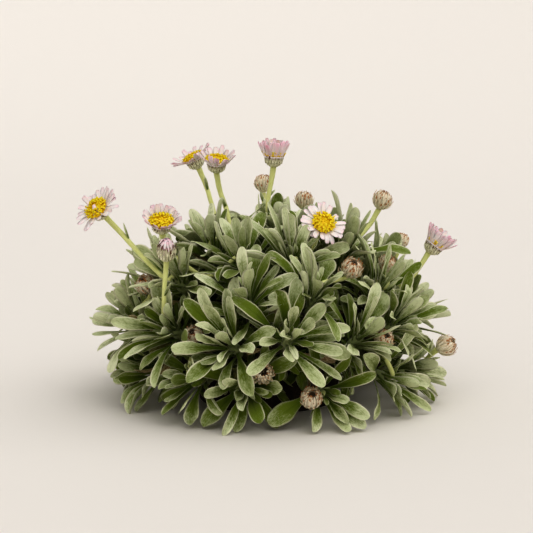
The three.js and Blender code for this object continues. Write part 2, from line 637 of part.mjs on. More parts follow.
// Ray florets: a thin round plate with a blade grown from each of its sides
function rayRing(head, number) {
  const { at: middle, facing, rays, lift } = head;
  const draw = new Draw(RAY_SEED + number);
  const [a, b] = squareTo(facing);
  const place = (w, out, along) => (
    mix([middle, 1], [a, out * Math.cos(w)], [b, out * Math.sin(w)], [facing, along])
  );
  const points = [];
  const faces = [];
  for (const along of RAY_PLATE) {
    for (let k = 0; k < RAY_COUNT; k++) points.push(place((TAU * k) / RAY_COUNT, FLORET_RADIUS, along));
  }
  for (let k = 1; k + 1 < RAY_COUNT; k++) {
    faces.push([0, k + 1, k], [RAY_COUNT, RAY_COUNT + k, RAY_COUNT + k + 1]);
  }
  for (let k = 0; k < RAY_COUNT; k++) {
    const next = (k + 1) % RAY_COUNT;
    const w = (TAU * (k + 0.5)) / RAY_COUNT;
    const angle = radians(lift + (k % 2 ? 6 : -6) + draw.between(-6, 6));
    const length = rays * draw.between(0.9, 1.08);
    const out = mix([a, Math.cos(w)], [b, Math.sin(w)]);
    const side = mix([a, -Math.sin(w)], [b, Math.cos(w)]);
    const along = mix([out, Math.cos(angle)], [facing, Math.sin(angle)]);
    const normal = cross(along, side);
    const root = place(w, FLORET_RADIUS * Math.cos(Math.PI / RAY_COUNT), -0.2);
    const at = (share, across, up) => mix([root, 1], [along, length * share], [side, across], [normal, up]);
    const first = points.length;
    const { halfWidth: x, halfThickness: z } = RAY_MIDDLE;
    points.push(at(0.5, -x, -z), at(0.5, x, -z), at(0.5, x, z), at(0.5, -x, z));
    points.push(at(1, -RAY_TIP_HALF, 0), at(1, RAY_TIP_HALF, 0));
    const rootRing = [k, next, RAY_COUNT + next, RAY_COUNT + k];
    for (let i = 0; i < 4; i++) {
      const j = (i + 1) % 4;
      faces.push([rootRing[i], rootRing[j], first + j], [rootRing[i], first + j, first + i]);
    }
    const [p, q, r, s, left, right] = [0, 1, 2, 3, 4, 5].map((i) => first + i);
    faces.push([p, q, right], [p, right, left], [q, r, right]);
    faces.push([r, s, left], [r, left, right], [s, p, left]);
  }
  return { points, faces };
}

// A closed, dried head: a globe of scales in relief on a small flat base
function driedHead({ at, facing, radius: r }) {
  const profile = [
    [-4.5, 1.3], [-0.74 * r, 0.72 * r], [-0.15 * r, r, 0.09 * r], [0.4 * r, 0.9 * r, 0.12 * r],
    [0.8 * r, 0.5 * r, 0.1 * r], [0.72 * r, 0],
  ];
  return turned(at, facing, profile, GLOBE_SIDES);
}

// Materials
function finish(color, roughness) {
  return new THREE.MeshStandardMaterial({ color, roughness, metalness: 0, flatShading: true });
}

const materials = {
  pot: finish(0x3b2a1d, 0.95),
  soil: finish(0x2a1f17, 1),
  leaf: finish(0x7f8a66, 0.85),
  ray: finish(0xe8c6cb, 0.7),
  disc: finish(0xd9ab16, 0.8),
  dried: finish(0xa8926b, 0.9),
};

// Assembly
const rosettes = placeRosettes();
const shoots = placeShoots(rosettes);
const heads = placeHeads(rosettes);
for (const shoot of shoots) shoot.spines = shoot.stems.map((stem) => placeSpine(stem, rosettes, heads));
const leaves = growLeaves(rosettes, shoots.flatMap(({ spines }) => spines), heads);
const plant = new THREE.Group();

const potRadius = (z) => POT_BASE_RADIUS + ((POT_RIM_RADIUS - POT_BASE_RADIUS) * z) / POT_HEIGHT;

function buildPot() {
  const inner = (z) => potRadius(z) - POT_WALL;
  const profile = [
    [0, 0], [POT_BASE_RADIUS, 0], [POT_RIM_RADIUS, POT_HEIGHT], [inner(POT_HEIGHT), POT_HEIGHT],
    [inner(POT_FLOOR), POT_FLOOR], [0, POT_FLOOR],
  ];
  let body = solidOf(upright(profile));
  for (let k = 0; k < DRAIN_HOLES; k++) {
    const hole = new THREE.CylinderGeometry(DRAIN_RADIUS, DRAIN_RADIUS, 3 * POT_FLOOR, DRAIN_SIDES);
    hole.rotateX(Math.PI / 2);
    const place = around(45 + (360 * k) / DRAIN_HOLES, DRAIN_CIRCLE, 0);
    hole.translate(place.x, place.y, place.z);
    body = body.subtract(solidOf(hole));
  }
  return meshOf('pot', body, materials.pot);
}

function buildSoil() {
  const inner = (z) => potRadius(z) - POT_WALL - GAP;
  const bottom = POT_FLOOR + GAP;
  const profile = [
    [0, bottom], [inner(bottom), bottom], [inner(SOIL_TOP), SOIL_TOP],
    [POT_RIM_RADIUS * 0.55, SOIL_TOP + SOIL_DOME * 0.7], [0, SOIL_TOP + SOIL_DOME],
  ];
  let body = solidOf(upright(profile));
  const holeRadius = (STEM_RADIUS + GAP) / Math.cos(Math.PI / HOLE_SIDES);
  for (const { stems } of shoots) {
    const foot = stems[0].points[0];
    const hole = new THREE.CylinderGeometry(holeRadius, holeRadius, HOLE_LENGTH, HOLE_SIDES);
    hole.rotateX(Math.PI / 2);
    hole.translate(foot.x, foot.y, STEM_FOOT - GAP + HOLE_LENGTH / 2);
    body = body.subtract(solidOf(hole));
  }
  return meshOf('soil', body, materials.soil);
}

function upright(profile) {
  const outline = profile.map(([r, z]) => new THREE.Vector2(r, z));
  return new THREE.LatheGeometry(outline, POT_SIDES).rotateX(Math.PI / 2);
}

function buildShoot({ name, spines }) {
  const shapes = spines.map(({ rings, first, rosette }) => loft(rings, (i, k) => {
    const leaf = leaves[rosette][`${i - first} ${k}`];
    return leaf && blade(leaf);
  }));
  return meshOf(name, fuse(shapes), materials.leaf);
}

function buildHead(head, name, number) {
  const { kind, at, facing } = head;
  if (kind === 'dried') return [meshOf(name, solid(driedHead(head)), materials.dried)];
  if (kind === 'closing') {
    const tuft = turned(at, facing, TUFT_PROFILE, TUFT_SIDES);
    return [meshOf(`${name}_tuft`, solid(tuft), materials.ray)];
  }
  const florets = turned(at, facing, FLORET_PROFILE, FLORET_SIDES);
  return [
    meshOf(`${name}_rays`, solid(rayRing(head, number)), materials.ray),
    meshOf(`${name}_florets`, solid(florets), materials.disc),
  ];
}

plant.add(buildPot(), buildSoil(), ...shoots.map(buildShoot));
const seen = {};
heads.forEach((head, i) => {
  seen[head.kind] = (seen[head.kind] ?? 0) + 1;
  const kind = head.kind === 'dried' ? 'dried_head' : head.kind;
  plant.add(...buildHead(head, `${kind}_${seen[head.kind]}`, i));
});

export default plant;
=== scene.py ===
# Potted mountain everlasting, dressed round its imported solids. The plant grows by the same rule as its
# solids, in millimetres, and every mesh is made in metres. Up is +Z, and the front looks to -Y.

import math
from collections import namedtuple
from types import SimpleNamespace

import bpy
import numpy as np
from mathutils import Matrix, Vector


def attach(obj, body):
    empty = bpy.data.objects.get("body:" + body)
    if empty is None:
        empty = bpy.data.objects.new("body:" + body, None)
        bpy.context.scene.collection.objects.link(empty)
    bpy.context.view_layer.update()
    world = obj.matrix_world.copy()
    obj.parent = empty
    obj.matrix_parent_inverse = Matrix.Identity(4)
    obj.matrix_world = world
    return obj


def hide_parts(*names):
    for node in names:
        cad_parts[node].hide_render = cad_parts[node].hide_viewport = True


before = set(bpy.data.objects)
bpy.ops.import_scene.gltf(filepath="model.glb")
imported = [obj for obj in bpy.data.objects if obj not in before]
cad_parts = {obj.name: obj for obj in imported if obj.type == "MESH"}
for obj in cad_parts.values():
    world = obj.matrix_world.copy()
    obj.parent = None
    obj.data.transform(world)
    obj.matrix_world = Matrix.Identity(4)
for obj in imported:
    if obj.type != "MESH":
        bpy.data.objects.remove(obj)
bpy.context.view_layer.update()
MM = 0.001

# Pot and soil
POT_HEIGHT = 26
POT_BASE_RADIUS = 34.5
POT_RIM_RADIUS = 38.5
POT_WALL = 2.6
POT_FLOOR = 3
POT_SIDES = 24
DRAIN_RADIUS = 3.5
DRAIN_CIRCLE = 20
DRAIN_HOLES = 4
SOIL_TOP = 23
SOIL_DOME = 1.8

# Stems
SIDES = 5
STEM_RADIUS = 1.5
STEM_FOOT = 17.5
COLLAR = 25.8
CLOTHED_RADIUS = 3.4
NECK_RADIUS = 2
NECK = -10
STEM_RADII = [STEM_RADIUS, STEM_RADIUS, 2.6, CLOTHED_RADIUS, NECK_RADIUS]
TRUNK_RADII = [STEM_RADIUS, STEM_RADIUS, 2, 2.6, CLOTHED_RADIUS, NECK_RADIUS]
BRANCH_RADII = [1.9, CLOTHED_RADIUS, NECK_RADIUS]
FORK_RADIUS = 44
FORK_HEIGHT = 35
TRUNK_RISE = 18
FORK_REACH = 16

# The core of a rosette, and the age of the leaves that grow from each strip between its rings
CORE_RINGS = [(-7, 2.3), (-4.4, 2.9), (-1.8, 2.7), (0.8, 1.9)]
CORE_TIP = 3.4
CORE_TWIST = -30
STRIP_AGE = [1, 0.55, 0.12]

# Rosettes, in rings from the ground to the top
Ring = namedtuple("Ring", "name count azimuth out height lean foot length opening droop")
RINGS = [
    Ring("low", 12, -96, 61, 18.5, 86, 29, 30, 46, 0.5),
    Ring("mid", 12, -81, 62, 41, 54, 29, 31, 46, 0.2),
    Ring("high", 9, -104, 50, 61, 38, 20, 32, 44, 0),
    Ring("crown", 7, -64, 30, 74, 20, 12, 32, 40, 0),
    Ring("top", 1, 30, 3, 79, 4, 1.5, 31, 38, 0),
]
LOW, MID, HIGH, CROWN, TOP = range(5)
RIGHT_REACH = 8
JITTER = SimpleNamespace(azimuth=5, out=3, height=3, lean=9, side=12)

# Leaves
YOUNG_ANGLE = 6
BEND_YOUNG, BEND_MORE = -8, 40
YOUNG_LENGTH, YOUNG_WIDTH = 0.72, 0.74
SPREAD = SimpleNamespace(age=0.12, turn=10, angle=6, bend=12, twist=32, sway=0.1)
SHARE = (0.86, 1.1), (0.84, 1.1)
LEAF_SEED = 1000
LEAF_WIDTH = 8.6
PETIOLE = 0.26
BLADE_FROM, BLADE_GROWTH, TIP_FROM = 0.2, 0.5, 0.74
BLADE_STATIONS = [0.46, 0.8]
TIP_STATION = 0.985
TIP_WIDTH = 0.42
KEEL = 0.6
CHANNEL = 0.5
ROOT_PART = 0.06
LEAF_CLEARANCE = 0.15
POT_ROOM = 0.6
LEAF_ROOM = 0.9
GROUND_ROOM = 0.5
TRIES = 14
SIDE_STEPS = [0, 8, -8, 16, -16, 24, -24]
RETRY = SimpleNamespace(steeper=0.075, shorter=0.022, narrower=0.012)

# Flower heads: kind, place of the middle, the way it faces, and where its stalk bows through. An open
# head has the length of its rays and their lift in degrees, and a shut one its radius.
Head = namedtuple("Head", "kind at facing way radius rays lift", defaults=(None,) * 4)
HEADS = [
    Head("bloom", (-82, -25, 98.5), (-0.5, -0.62, 0.6), (-49, -35, 66), rays=6.8, lift=12),
    Head("bloom", (-51, -30, 92.5), (0.06, -0.5, 0.86), (-30, -26, 66), rays=5.8, lift=44),
    Head("closing", (-47.5, -48, 82), (0.05, -0.5, 0.86), (-49, -47.5, 58), radius=5.6),
    Head("bloom", (-39, 48, 117), (-0.45, -0.1, 0.88), (-27, 35, 86), rays=7, lift=28),
    Head("bloom", (-26, 15, 118), (0.05, -0.3, 0.95), (-19, 5, 84), rays=6.4, lift=44),
    Head("cup", (3, 10, 121.5), (0.05, -0.05, 1), (0, 5, 92), rays=7.8, lift=70),
    Head("bloom", (26.5, -25, 91.5), (0.2, -0.74, 0.64), (12, -35, 68), rays=6, lift=18),
    Head("cup", (84, 5, 77.5), (0.58, -0.05, 0.81), (66, 0, 57), rays=7.8, lift=62),
    Head("dried", (-2.5, 55, 103.5), (0, 0.1, 1), radius=5),
    Head("dried", (19, 45, 95.5), (0.1, 0, 1), radius=4.9),
    Head("dried", (59.5, 35, 96.5), (0.35, 0, 0.93), (42, 20, 74), radius=5.3),
    Head("dried", (39.5, -42, 72.5), (0.25, -0.65, 0.72), radius=5.2),
    Head("dried", (58.5, -14, 70.5), (0.3, -0.5, 0.8), radius=4.4),
    Head("dried", (70, 35, 75.5), (0.35, 0.1, 0.9), radius=4),
    Head("dried", (-60, -15, 60), (-0.45, -0.45, 0.77), radius=5.2),
    Head("dried", (-35, -50, 42), (-0.15, -0.8, 0.58), radius=4.4),
    Head("dried", (-2.5, -69, 28), (0, -0.93, 0.36), radius=5),
    Head("dried", (20, -69, 16), (0.05, -0.75, 0.66), radius=5.3),
    Head("dried", (55, -45, 39), (0.25, -0.75, 0.6), radius=4.6),
    Head("dried", (87, -22, 31), (0.8, -0.35, 0.48), radius=5.2),
    Head("dried", (-44, 62, 66), (-0.45, 0.6, 0.66), radius=4.8),
    Head("dried", (22, 78, 44), (0.2, 0.85, 0.5), radius=5),
]
STALK_RADIUS = 1.15
STALK_DEPTH = {"bloom": 5.2, "cup": 5.2, "closing": 5.4, "dried": 4.8}
FLORET_RADIUS = 5.2
HEAD_ROOM_SIDES = 8
RAY_MARGIN = 0.6
LIFT_SPREAD = 12
ROSETTE_AHEAD, HEAD_BEHIND = 10, 8
CUP_PROFILE = [(-4.6, 4.3, 0.3), (-2.6, 5.4, 0.5), (-0.9, 5.8, 0.6), (-1.4, 4.4, 0)]
CLOSING_PROFILE = [(-4.7, 3.9, 0.3), (-2, 5.4, 0.5), (1.4, 5.1, 0.6), (3, 3.7, 0)]
CUPS = {"bloom": CUP_PROFILE, "cup": CUP_PROFILE, "closing": CLOSING_PROFILE}

UP = np.array((0.0, 0.0, 1.0))
BACK = np.array((0.0, 1.0, 0.0))
FIRST_ACROSS = np.array((0.3, 0.9, 0.1))
TAU = 2 * math.pi
radians = math.radians


# Seeded draws
class Draw:
    MODULUS = 4294967296

    def __init__(self, seed):
        self.state = (seed * 2654435761 + 12345) % self.MODULUS
        for _ in range(3):
            self.next()

    def next(self):
        self.state = (self.state * 1664525 + 1013904223) % self.MODULUS
        return self.state / self.MODULUS

    def between(self, low, high):
        return low + (high - low) * self.next()

    def either(self, most):
        return self.between(-most, most)


# Vectors
def vector(place):
    return np.array(place, float)


def unit(v):
    return v / np.linalg.norm(v, axis=-1, keepdims=True)


def around(azimuth, out, height):
    turn = radians(azimuth)
    return vector((out * math.cos(turn), out * math.sin(turn), height))


def square_to(axis):
    level = unit(np.cross(UP if abs(axis[2]) < 0.9 else BACK, axis))
    return level, np.cross(axis, level)


def turned(a, b, w):
    return a * np.cos(w) + b * np.sin(w)


def full_turn(sides):
    return TAU * np.arange(sides) / sides


# A circle of points in the plane across an axis, and circles along it: how far along, and their radii
def circle(at, axis, radius, sides, turn=0.0):
    radius = np.reshape(radius, (-1, 1)) if np.ndim(radius) else radius
    return at + radius * turned(*square_to(axis), (turn + full_turn(sides))[:, None])


def circles(at, axis, profile, sides, turn=0.0):
    return [circle(at + along * axis, axis, radius, sides, turn) for along, radius in profile]


def distances(points):
    return np.append(0, np.cumsum(np.linalg.norm(np.diff(points, axis=0), axis=1)))


# Points on a curve from start to end, with the way and the pull with which it leaves and arrives
def hermite(start, end, leaving, arriving, steps):
    s = np.linspace(0, 1, steps + 1)[:, None]
    from_start = (2 * s**3 - 3 * s**2 + 1) * start + (s**3 - 2 * s**2 + s) * leaving
    return from_start + (3 * s**2 - 2 * s**3) * end + (s**3 - s**2) * arriving


# Rings along a line, carried on from point to point without turning about it, then twisted in degrees
def rings_along(points, radii, twists, end, sides=SIDES):
    across = FIRST_ACROSS
    rings = []
    for i, p in enumerate(points):
        last = i + 1 == len(points)
        along = end if last else unit(points[i + 1] - points[max(i - 1, 0)])
        across = unit(across - along * across.dot(along))
        w = (full_turn(sides) + radians(twists[i]))[:, None]
        rings.append(p + radii[i] * turned(across, np.cross(along, across), w))
    return rings


# Where rosettes, shoots and heads are
def place_rosettes():
    rosettes = []
    for level, ring in enumerate(RINGS):
        for k in range(ring.count):
            draw = Draw(100 * level + k + 1)
            azimuth = ring.azimuth + 360 * k / ring.count + draw.either(JITTER.azimuth)
            reach = RIGHT_REACH * max(0.0, math.cos(radians(azimuth)))
            out = ring.out + reach + draw.either(JITTER.out)
            height = ring.height + draw.either(JITTER.height)
            lean = radians(ring.lean + draw.either(JITTER.lean))
            side = draw.either(JITTER.side)
            rosettes.append(SimpleNamespace(
                ring=ring, level=level, azimuth=azimuth, at=around(azimuth, out, height),
                axis=unit(around(azimuth + side, math.sin(lean), math.cos(lean))),
                draw=Draw(LEAF_SEED + 100 * level + k),
            ))
    return rosettes


def place_shoots(rosettes):
    def numbers(level):
        return [j for j, r in enumerate(rosettes) if r.level == level]

    def foot(azimuth, out):
        return around(azimuth, out, STEM_FOOT), around(azimuth, out, COLLAR)

    def branch(fork, j, lead):
        end = rosettes[j].at + NECK * rosettes[j].axis
        reach = np.linalg.norm(end - fork)
        return hermite(fork, end, unit(lead) * reach, rosettes[j].axis * reach * 0.9, 2)

    shoots = []
    for k, (low, mid) in enumerate(zip(numbers(LOW), numbers(MID))):
        azimuth = (rosettes[low].azimuth + rosettes[mid].azimuth) / 2
        outward = around(azimuth, 1, 0)
        base, collar = foot(azimuth, RINGS[LOW].foot)
        fork = around(azimuth, FORK_RADIUS, FORK_HEIGHT)
        over = unit(0.95 * outward + 0.3 * UP) * FORK_REACH
        trunk = hermite(collar, fork, UP * TRUNK_RISE, over, 2)
        to_mid = np.vstack([base[None], trunk, branch(fork, mid, outward)[1:]])
        to_low = branch(fork, low, 0.9 * outward - 0.5 * UP)
        stems = [(mid, to_mid, TRUNK_RADII), (low, to_low, BRANCH_RADII)]
        shoots.append(SimpleNamespace(name=f"shoot_low_mid_{k + 1}", stems=stems))
    for level in (HIGH, CROWN, TOP):
        for k, j in enumerate(numbers(level)):
            r = rosettes[j]
            base, collar = foot(r.azimuth, r.ring.foot)
            end = r.at + NECK * r.axis
            reach = np.linalg.norm(end - collar)
            rise = hermite(collar, end, UP * reach * 0.9, r.axis * reach * 0.7, 3)
            stem = (j, np.vstack([base[None], rise]), STEM_RADII)
            shoots.append(SimpleNamespace(name=f"shoot_{r.ring.name}_{k + 1}", stems=[stem]))
    return shoots


def place_heads(rosettes):
    taken = set()
    heads = []
    for head in HEADS:
        at, facing = vector(head.at), unit(vector(head.facing))
        base = at - STALK_DEPTH[head.kind] * facing
        aim = vector(head.way) if head.way else base - HEAD_BEHIND * facing
        away = {
            j: np.linalg.norm(r.at + ROSETTE_AHEAD * r.axis - aim)
            for j, r in enumerate(rosettes) if j not in taken
        }
        j = min(away, key=away.get)
        taken.add(j)
        axis = rosettes[j].axis
        root = rosettes[j].at + CORE_TIP * axis
        if head.way:
            first, second = np.linalg.norm(aim - root), np.linalg.norm(base - aim)
            along = unit(base - root)
            rise = hermite(root, aim, axis * first * 0.9, along * first, 3)
            reach = hermite(aim, base, along * second, facing * second * 0.9, 3)
            points = np.vstack([rise, reach[1:]])
        else:
            reach = np.linalg.norm(base - root)
            points = hermite(root, base, axis * reach * 0.8, facing * reach * 0.8, 4)
        heads.append(SimpleNamespace(
            kind=head.kind, at=at, facing=facing, rosette=j, points=points,
            radius=head.radius, rays=head.rays, lift=head.lift,
        ))
    return heads


# The cup of bracts at the end of a stalk: rings whose points stand in and out by turns
def cup_rings(head, profile, start):
    outward = start - head.at
    a = unit(outward - head.facing * outward.dot(head.facing))
    b = np.cross(head.facing, a)
    count = 2 * SIDES
    rings = []
    for number, (along, radius, relief) in enumerate(profile):
        drawn = np.where((np.arange(count) + number) % 2, relief, 0)[:, None]
        radial = (radius - drawn) * turned(a, b, full_turn(count)[:, None])
        rings.append(head.at + (along - drawn) * head.facing + radial)
    return rings


def place_spine(stem, rosettes, heads):
    j, stem_points, stem_radii = stem
    at, axis = rosettes[j].at, rosettes[j].axis
    head = next((h for h in heads if h.rosette == j), None)
    core = [at + along * axis for along, _ in CORE_RINGS]
    stalk = list(head.points) if head else []
    points = np.array([*stem_points, *core, *stalk])
    radii = [*stem_radii, *(r for _, r in CORE_RINGS), *([STALK_RADIUS] * len(stalk))]
    first = len(stem_points)
    twists = [CORE_TWIST * min(max(i - first, 0), len(CORE_RINGS) - 1) for i in range(len(points))]
    rings = rings_along(points, radii, twists, head.facing if head else axis)
    if not head:
        rings.append((at + CORE_TIP * axis)[None])
    elif head.kind in CUPS:
        rings += cup_rings(head, CUPS[head.kind], rings[-1][0])
    return SimpleNamespace(
        rosette=j, rings=rings, first=first, points=points, radii=radii, head=head,
        core_end=first + len(CORE_RINGS),
    )


# Coarse bodies: a leaf has to grow clear of the ones that are there. These are the triangles of a closed
# body through rings of the given sizes, where a ring can also be one point.
def loft_faces(sizes):
    faces = []
    a = 0
    for m, n in zip(sizes, sizes[1:]):
        b = a + m
        for k in range(m if m > 1 else 1):
            after = (k + 1) % m
            if m == 1:
                faces += [(a, b + (l + 1) % n, b + l) for l in range(n)]
            elif n == 1:
                faces.append((a + k, a + after, b))
            elif n == 2 * m:
                p, q, r = b + 2 * k, b + 2 * k + 1, b + (2 * k + 2) % n
                faces += [(a + k, q, p), (a + k, a + after, q), (a + after, r, q)]
            else:
                faces += [(a + k, a + after, b + after), (a + k, b + after, b + k)]
        a = b
    faces += [(0, k + 1, k) for k in range(1, sizes[0] - 1)]
    faces += [(a, a + k, a + k + 1) for k in range(1, sizes[-1] - 1)]
    return faces


def blade_faces():
    faces = []
    for first in (0, 3):
        for i in range(3):
            j = (i + 1) % 3
            faces += [(first + i, first + j, first + 3 + j), (first + i, first + 3 + j, first + 3 + i)]
    left, right, keel, tip_left, tip_right = 6, 7, 8, 9, 10
    faces += [(left, right, tip_right), (left, tip_right, tip_left), (right, keel, tip_right)]
    faces += [(keel, left, tip_left), (keel, tip_left, tip_right)]
    return faces


def edges_of(faces):
    pairs = {tuple(sorted(pair)) for p, q, r in faces for pair in ((p, q), (q, r), (r, p))}
    return np.array(sorted(pairs))


def shape_of(points, faces, edges):
    return points[faces], points[edges]


def obstacle(points, faces, owner, free=None):
    edges = edges_of(faces)
    faces = np.array(faces)
    whole = shape_of(points, faces, edges)
    return SimpleNamespace(
        whole=whole, free=whole if free is None else shape_of(free, faces, edges), owner=owner,
        low=points.min(0), high=points.max(0),
    )


def round_body(at, axis, profile, sides, owner):
    rings = circles(at, axis, profile, sides)
    rings = [ring if radius else ring[:1] for ring, (_, radius) in zip(rings, profile)]
    return obstacle(np.vstack(rings), loft_faces([len(r) for r in rings]), owner)


def head_room(head):
    r = head.radius
    if head.rays:
        top = head.rays * math.sin(radians(head.lift + LIFT_SPREAD)) + RAY_MARGIN
        out = FLORET_RADIUS + head.rays * math.cos(radians(head.lift - LIFT_SPREAD)) + RAY_MARGIN
        profile = [(-6.9, 0), (-4, 5.4), (-0.5, 6.8), (top, out), (top + 1.4, 0)]
    elif head.kind == "closing":
        profile = [(-6.9, 0), (-3, 5.8), (2, 5.8), (7, 0)]
    else:
        profile = [(-r - 0.2, 0), (-r * 0.5, r), (r * 0.4, r + 0.3), (r + 0.3, 0)]
    return round_body(head.at, head.facing, profile, HEAD_ROOM_SIDES, "head")


# True if any of the edges passes through any of the triangles (Möller and Trumbore's test)
def pierces(edges, triangles):
    origin = edges[:, None, 0]
    d = edges[:, None, 1] - origin
    a = triangles[None, :, 0]
    u = triangles[None, :, 1] - a
    v = triangles[None, :, 2] - a
    h = np.cross(d, v)
    det = (u * h).sum(-1)
    scale = np.where(np.abs(det) > 1e-12, det, np.inf)
    s = origin - a
    x = (s * h).sum(-1) / scale
    q = np.cross(s, u)
    y = (d * q).sum(-1) / scale
    z = (v * q).sum(-1) / scale
    inside = (x >= 0) & (x <= 1) & (y >= 0) & (x + y <= 1) & (z >= 0) & (z <= 1)
    return bool((inside & np.isfinite(scale)).any())


class Bodies:
    MOST = 6000

    def __init__(self):
        self.list = []
        self.lows, self.highs = np.zeros((2, self.MOST, 3))

    def add(self, body):
        self.lows[len(self.list)] = body.low
        self.highs[len(self.list)] = body.high
        self.list.append(body)

    def crossed_by(self, body):
        def beside(low, high):
            return ((low <= body.high) & (high >= body.low)).all(1)

        n = len(self.list)
        near = [self.list[i] for i in np.flatnonzero(beside(self.lows[:n], self.highs[:n]))]
        for part, related in (("free", True), ("whole", False)):
            group = [getattr(b, part) for b in near if (b.owner == body.owner) == related]
            if not group:
                continue
            triangles, edges = getattr(body, part)
            other_triangles, other_edges = (np.concatenate(shapes) for shapes in zip(*group))
            if pierces(edges, other_triangles[beside(other_triangles.min(1), other_triangles.max(1))]):
                return True
            if pierces(other_edges[beside(other_edges.min(1), other_edges.max(1))], triangles):
                return True
        return False


# Leaves
def smooth(t):
    t = np.clip(t, 0, 1)
    return t * t * (3 - 2 * t)


def leaf_width(s):
    blade = PETIOLE + (1 - PETIOLE) * smooth((s - BLADE_FROM) / BLADE_GROWTH)
    rounding = np.sqrt(np.clip(1 - ((s - TIP_FROM) / (1 - TIP_FROM)) ** 2, 0, 1))
    return blade * np.where(s > TIP_FROM, rounding, 1)


# The points, sides and upper normals of a leaf's midline, an arc in the plane of its axis and way out
def leaf_frame(leaf, stations):
    s = np.asarray(stations, float)[:, None]
    bend = leaf.bend if abs(leaf.bend) > 1e-3 else 1e-3
    turn = leaf.angle + bend * s
    up = (np.sin(turn) - math.sin(leaf.angle)) / bend
    away = (math.cos(leaf.angle) - np.cos(turn)) / bend
    point = leaf.root + leaf.length * (leaf.axis * up + leaf.out * away + leaf.side * leaf.sway * s * s)
    along = unit(leaf.axis * np.cos(turn) + leaf.out * np.sin(turn) + leaf.side * 2 * leaf.sway * s)
    level = unit(leaf.side - along * (along * leaf.side).sum(-1, keepdims=True))
    normal = np.cross(along, level)
    c, n = np.cos(leaf.twist * s), np.sin(leaf.twist * s)
    return point, level * c + normal * n, normal * c - level * n


BLADE = blade_faces()


# The coarse blade of a leaf: its stations and its blunt tip, grown by a clearance
def blade_points(leaf, grown):
    point, across, normal = leaf_frame(leaf, [*BLADE_STATIONS, TIP_STATION])
    points = []
    for i, s in enumerate(BLADE_STATIONS):
        half = leaf.width * leaf_width(s) / 2 + grown
        channel = CHANNEL * min(1, leaf_width(s) * 1.2) + grown * 0.5
        points.append(point[i] + across[i] * half + normal[i] * channel)
        points.append(point[i] - across[i] * half + normal[i] * channel)
        points.append(point[i] - normal[i] * (KEEL + grown))
    half = leaf.width * TIP_WIDTH / 2
    for x in (half, -half):
        points.append(point[2] + across[2] * x + normal[2] * CHANNEL * 0.3)
    return np.array(points)


def pot_radius(height):
    return POT_BASE_RADIUS + (POT_RIM_RADIUS - POT_BASE_RADIUS) * height / POT_HEIGHT


def stands_free(points):
    out, height = np.hypot(points[:, 0], points[:, 1]), points[:, 2]
    wall = pot_radius(np.clip(height, 0, POT_HEIGHT)) + LEAF_ROOM
    in_pot = (height < POT_HEIGHT + LEAF_ROOM) & (out < wall)
    return bool(((height > GROUND_ROOM) & ~in_pot).all())


# True if the leaf has room where it is, and is then counted among the bodies
def takes_place(leaf, room, bodies):
    points = blade_points(leaf, room)
    if not stands_free(points):
        return False
    whole = np.vstack([leaf.base, points])
    free = whole.copy()
    free[:3] = leaf.base + (points[:3] - leaf.base) * ROOT_PART
    body = obstacle(whole, BLADE, leaf.rosette, free)
    if bodies.crossed_by(body):
        return False
    bodies.add(body)
    return True


# How finely a leaf is drawn
FULL, YOUNG, PARTLY_HIDDEN, DEEP = range(4)


# A leaf grows from its root, within the three points of its base, and turns outwards from its axis
def new_leaf(base, root, axis, out, rosette, detail, **shape):
    side = np.cross(axis, out)
    return SimpleNamespace(
        base=base, root=root, axis=axis, out=out, side=side, rosette=rosette, detail=detail, **shape,
    )


def grow_leaf(rosette, spine, strip, side, bodies):
    ring, axis, draw = rosette.ring, rosette.axis, rosette.draw
    lower, upper = spine.rings[spine.first + strip], spine.rings[spine.first + strip + 1]
    base = np.array([upper[(side + 1) % SIDES], upper[side], lower[side]])
    root = 0.35 * base[0] + 0.35 * base[1] + 0.3 * base[2]
    middle = rosette.at + axis * (root - rosette.at).dot(axis)
    level, rising = square_to(axis)
    outward = root - middle
    azimuth = math.atan2(outward.dot(level), outward.dot(rising))
    age = STRIP_AGE[strip] + draw.either(SPREAD.age)
    turn = draw.either(SPREAD.turn)
    angle = radians(YOUNG_ANGLE + ring.opening * age**0.85 + draw.either(SPREAD.angle))
    bend = radians(BEND_YOUNG + BEND_MORE * age + draw.either(SPREAD.bend))
    length = ring.length * (YOUNG_LENGTH + (1 - YOUNG_LENGTH) * age) * draw.between(*SHARE[0])
    width = LEAF_WIDTH * (YOUNG_WIDTH + (1 - YOUNG_WIDTH) * age) * draw.between(*SHARE[1])
    twist = radians(draw.either(SPREAD.twist))
    sway = draw.either(SPREAD.sway)
    for n in range(TRIES):
        phi = azimuth + radians(turn + SIDE_STEPS[n % len(SIDE_STEPS)])
        phi += ring.droop * math.sin(phi)
        pull = 1 - RETRY.steeper * (n // 2)
        leaf = new_leaf(
            base, root, axis, turned(rising, level, phi), spine.rosette, FULL, twist=twist, sway=sway,
            angle=angle * pull, bend=bend * pull, length=length * (1 - RETRY.shorter * n),
            width=width * (1 - RETRY.narrower * n), dry=0,
        )
        if takes_place(leaf, LEAF_CLEARANCE, bodies):
            return leaf
    return None


def grow_leaves(rosettes, spines, heads):
    foot, rim, top = (size + POT_ROOM for size in (POT_BASE_RADIUS, POT_RIM_RADIUS, POT_HEIGHT))
    pot = [(0, 0), (0, foot), (top, rim), (top, 0)]
    bodies = Bodies()
    bodies.add(round_body(0 * UP, UP, pot, POT_SIDES, "pot"))
    for spine in spines:
        for a, b in zip(spine.rings, spine.rings[1:]):
            bodies.add(obstacle(np.vstack([a, b]), loft_faces([len(a), len(b)]), spine.rosette))
    for head in heads:
        bodies.add(head_room(head))
    leaves = []
    for strip in range(len(STRIP_AGE)):
        for side in range(SIDES):
            for spine in spines:
                leaf = grow_leaf(rosettes[spine.rosette], spine, strip, side, bodies)
                if leaf:
                    leaves.append(leaf)
    return leaves, bodies


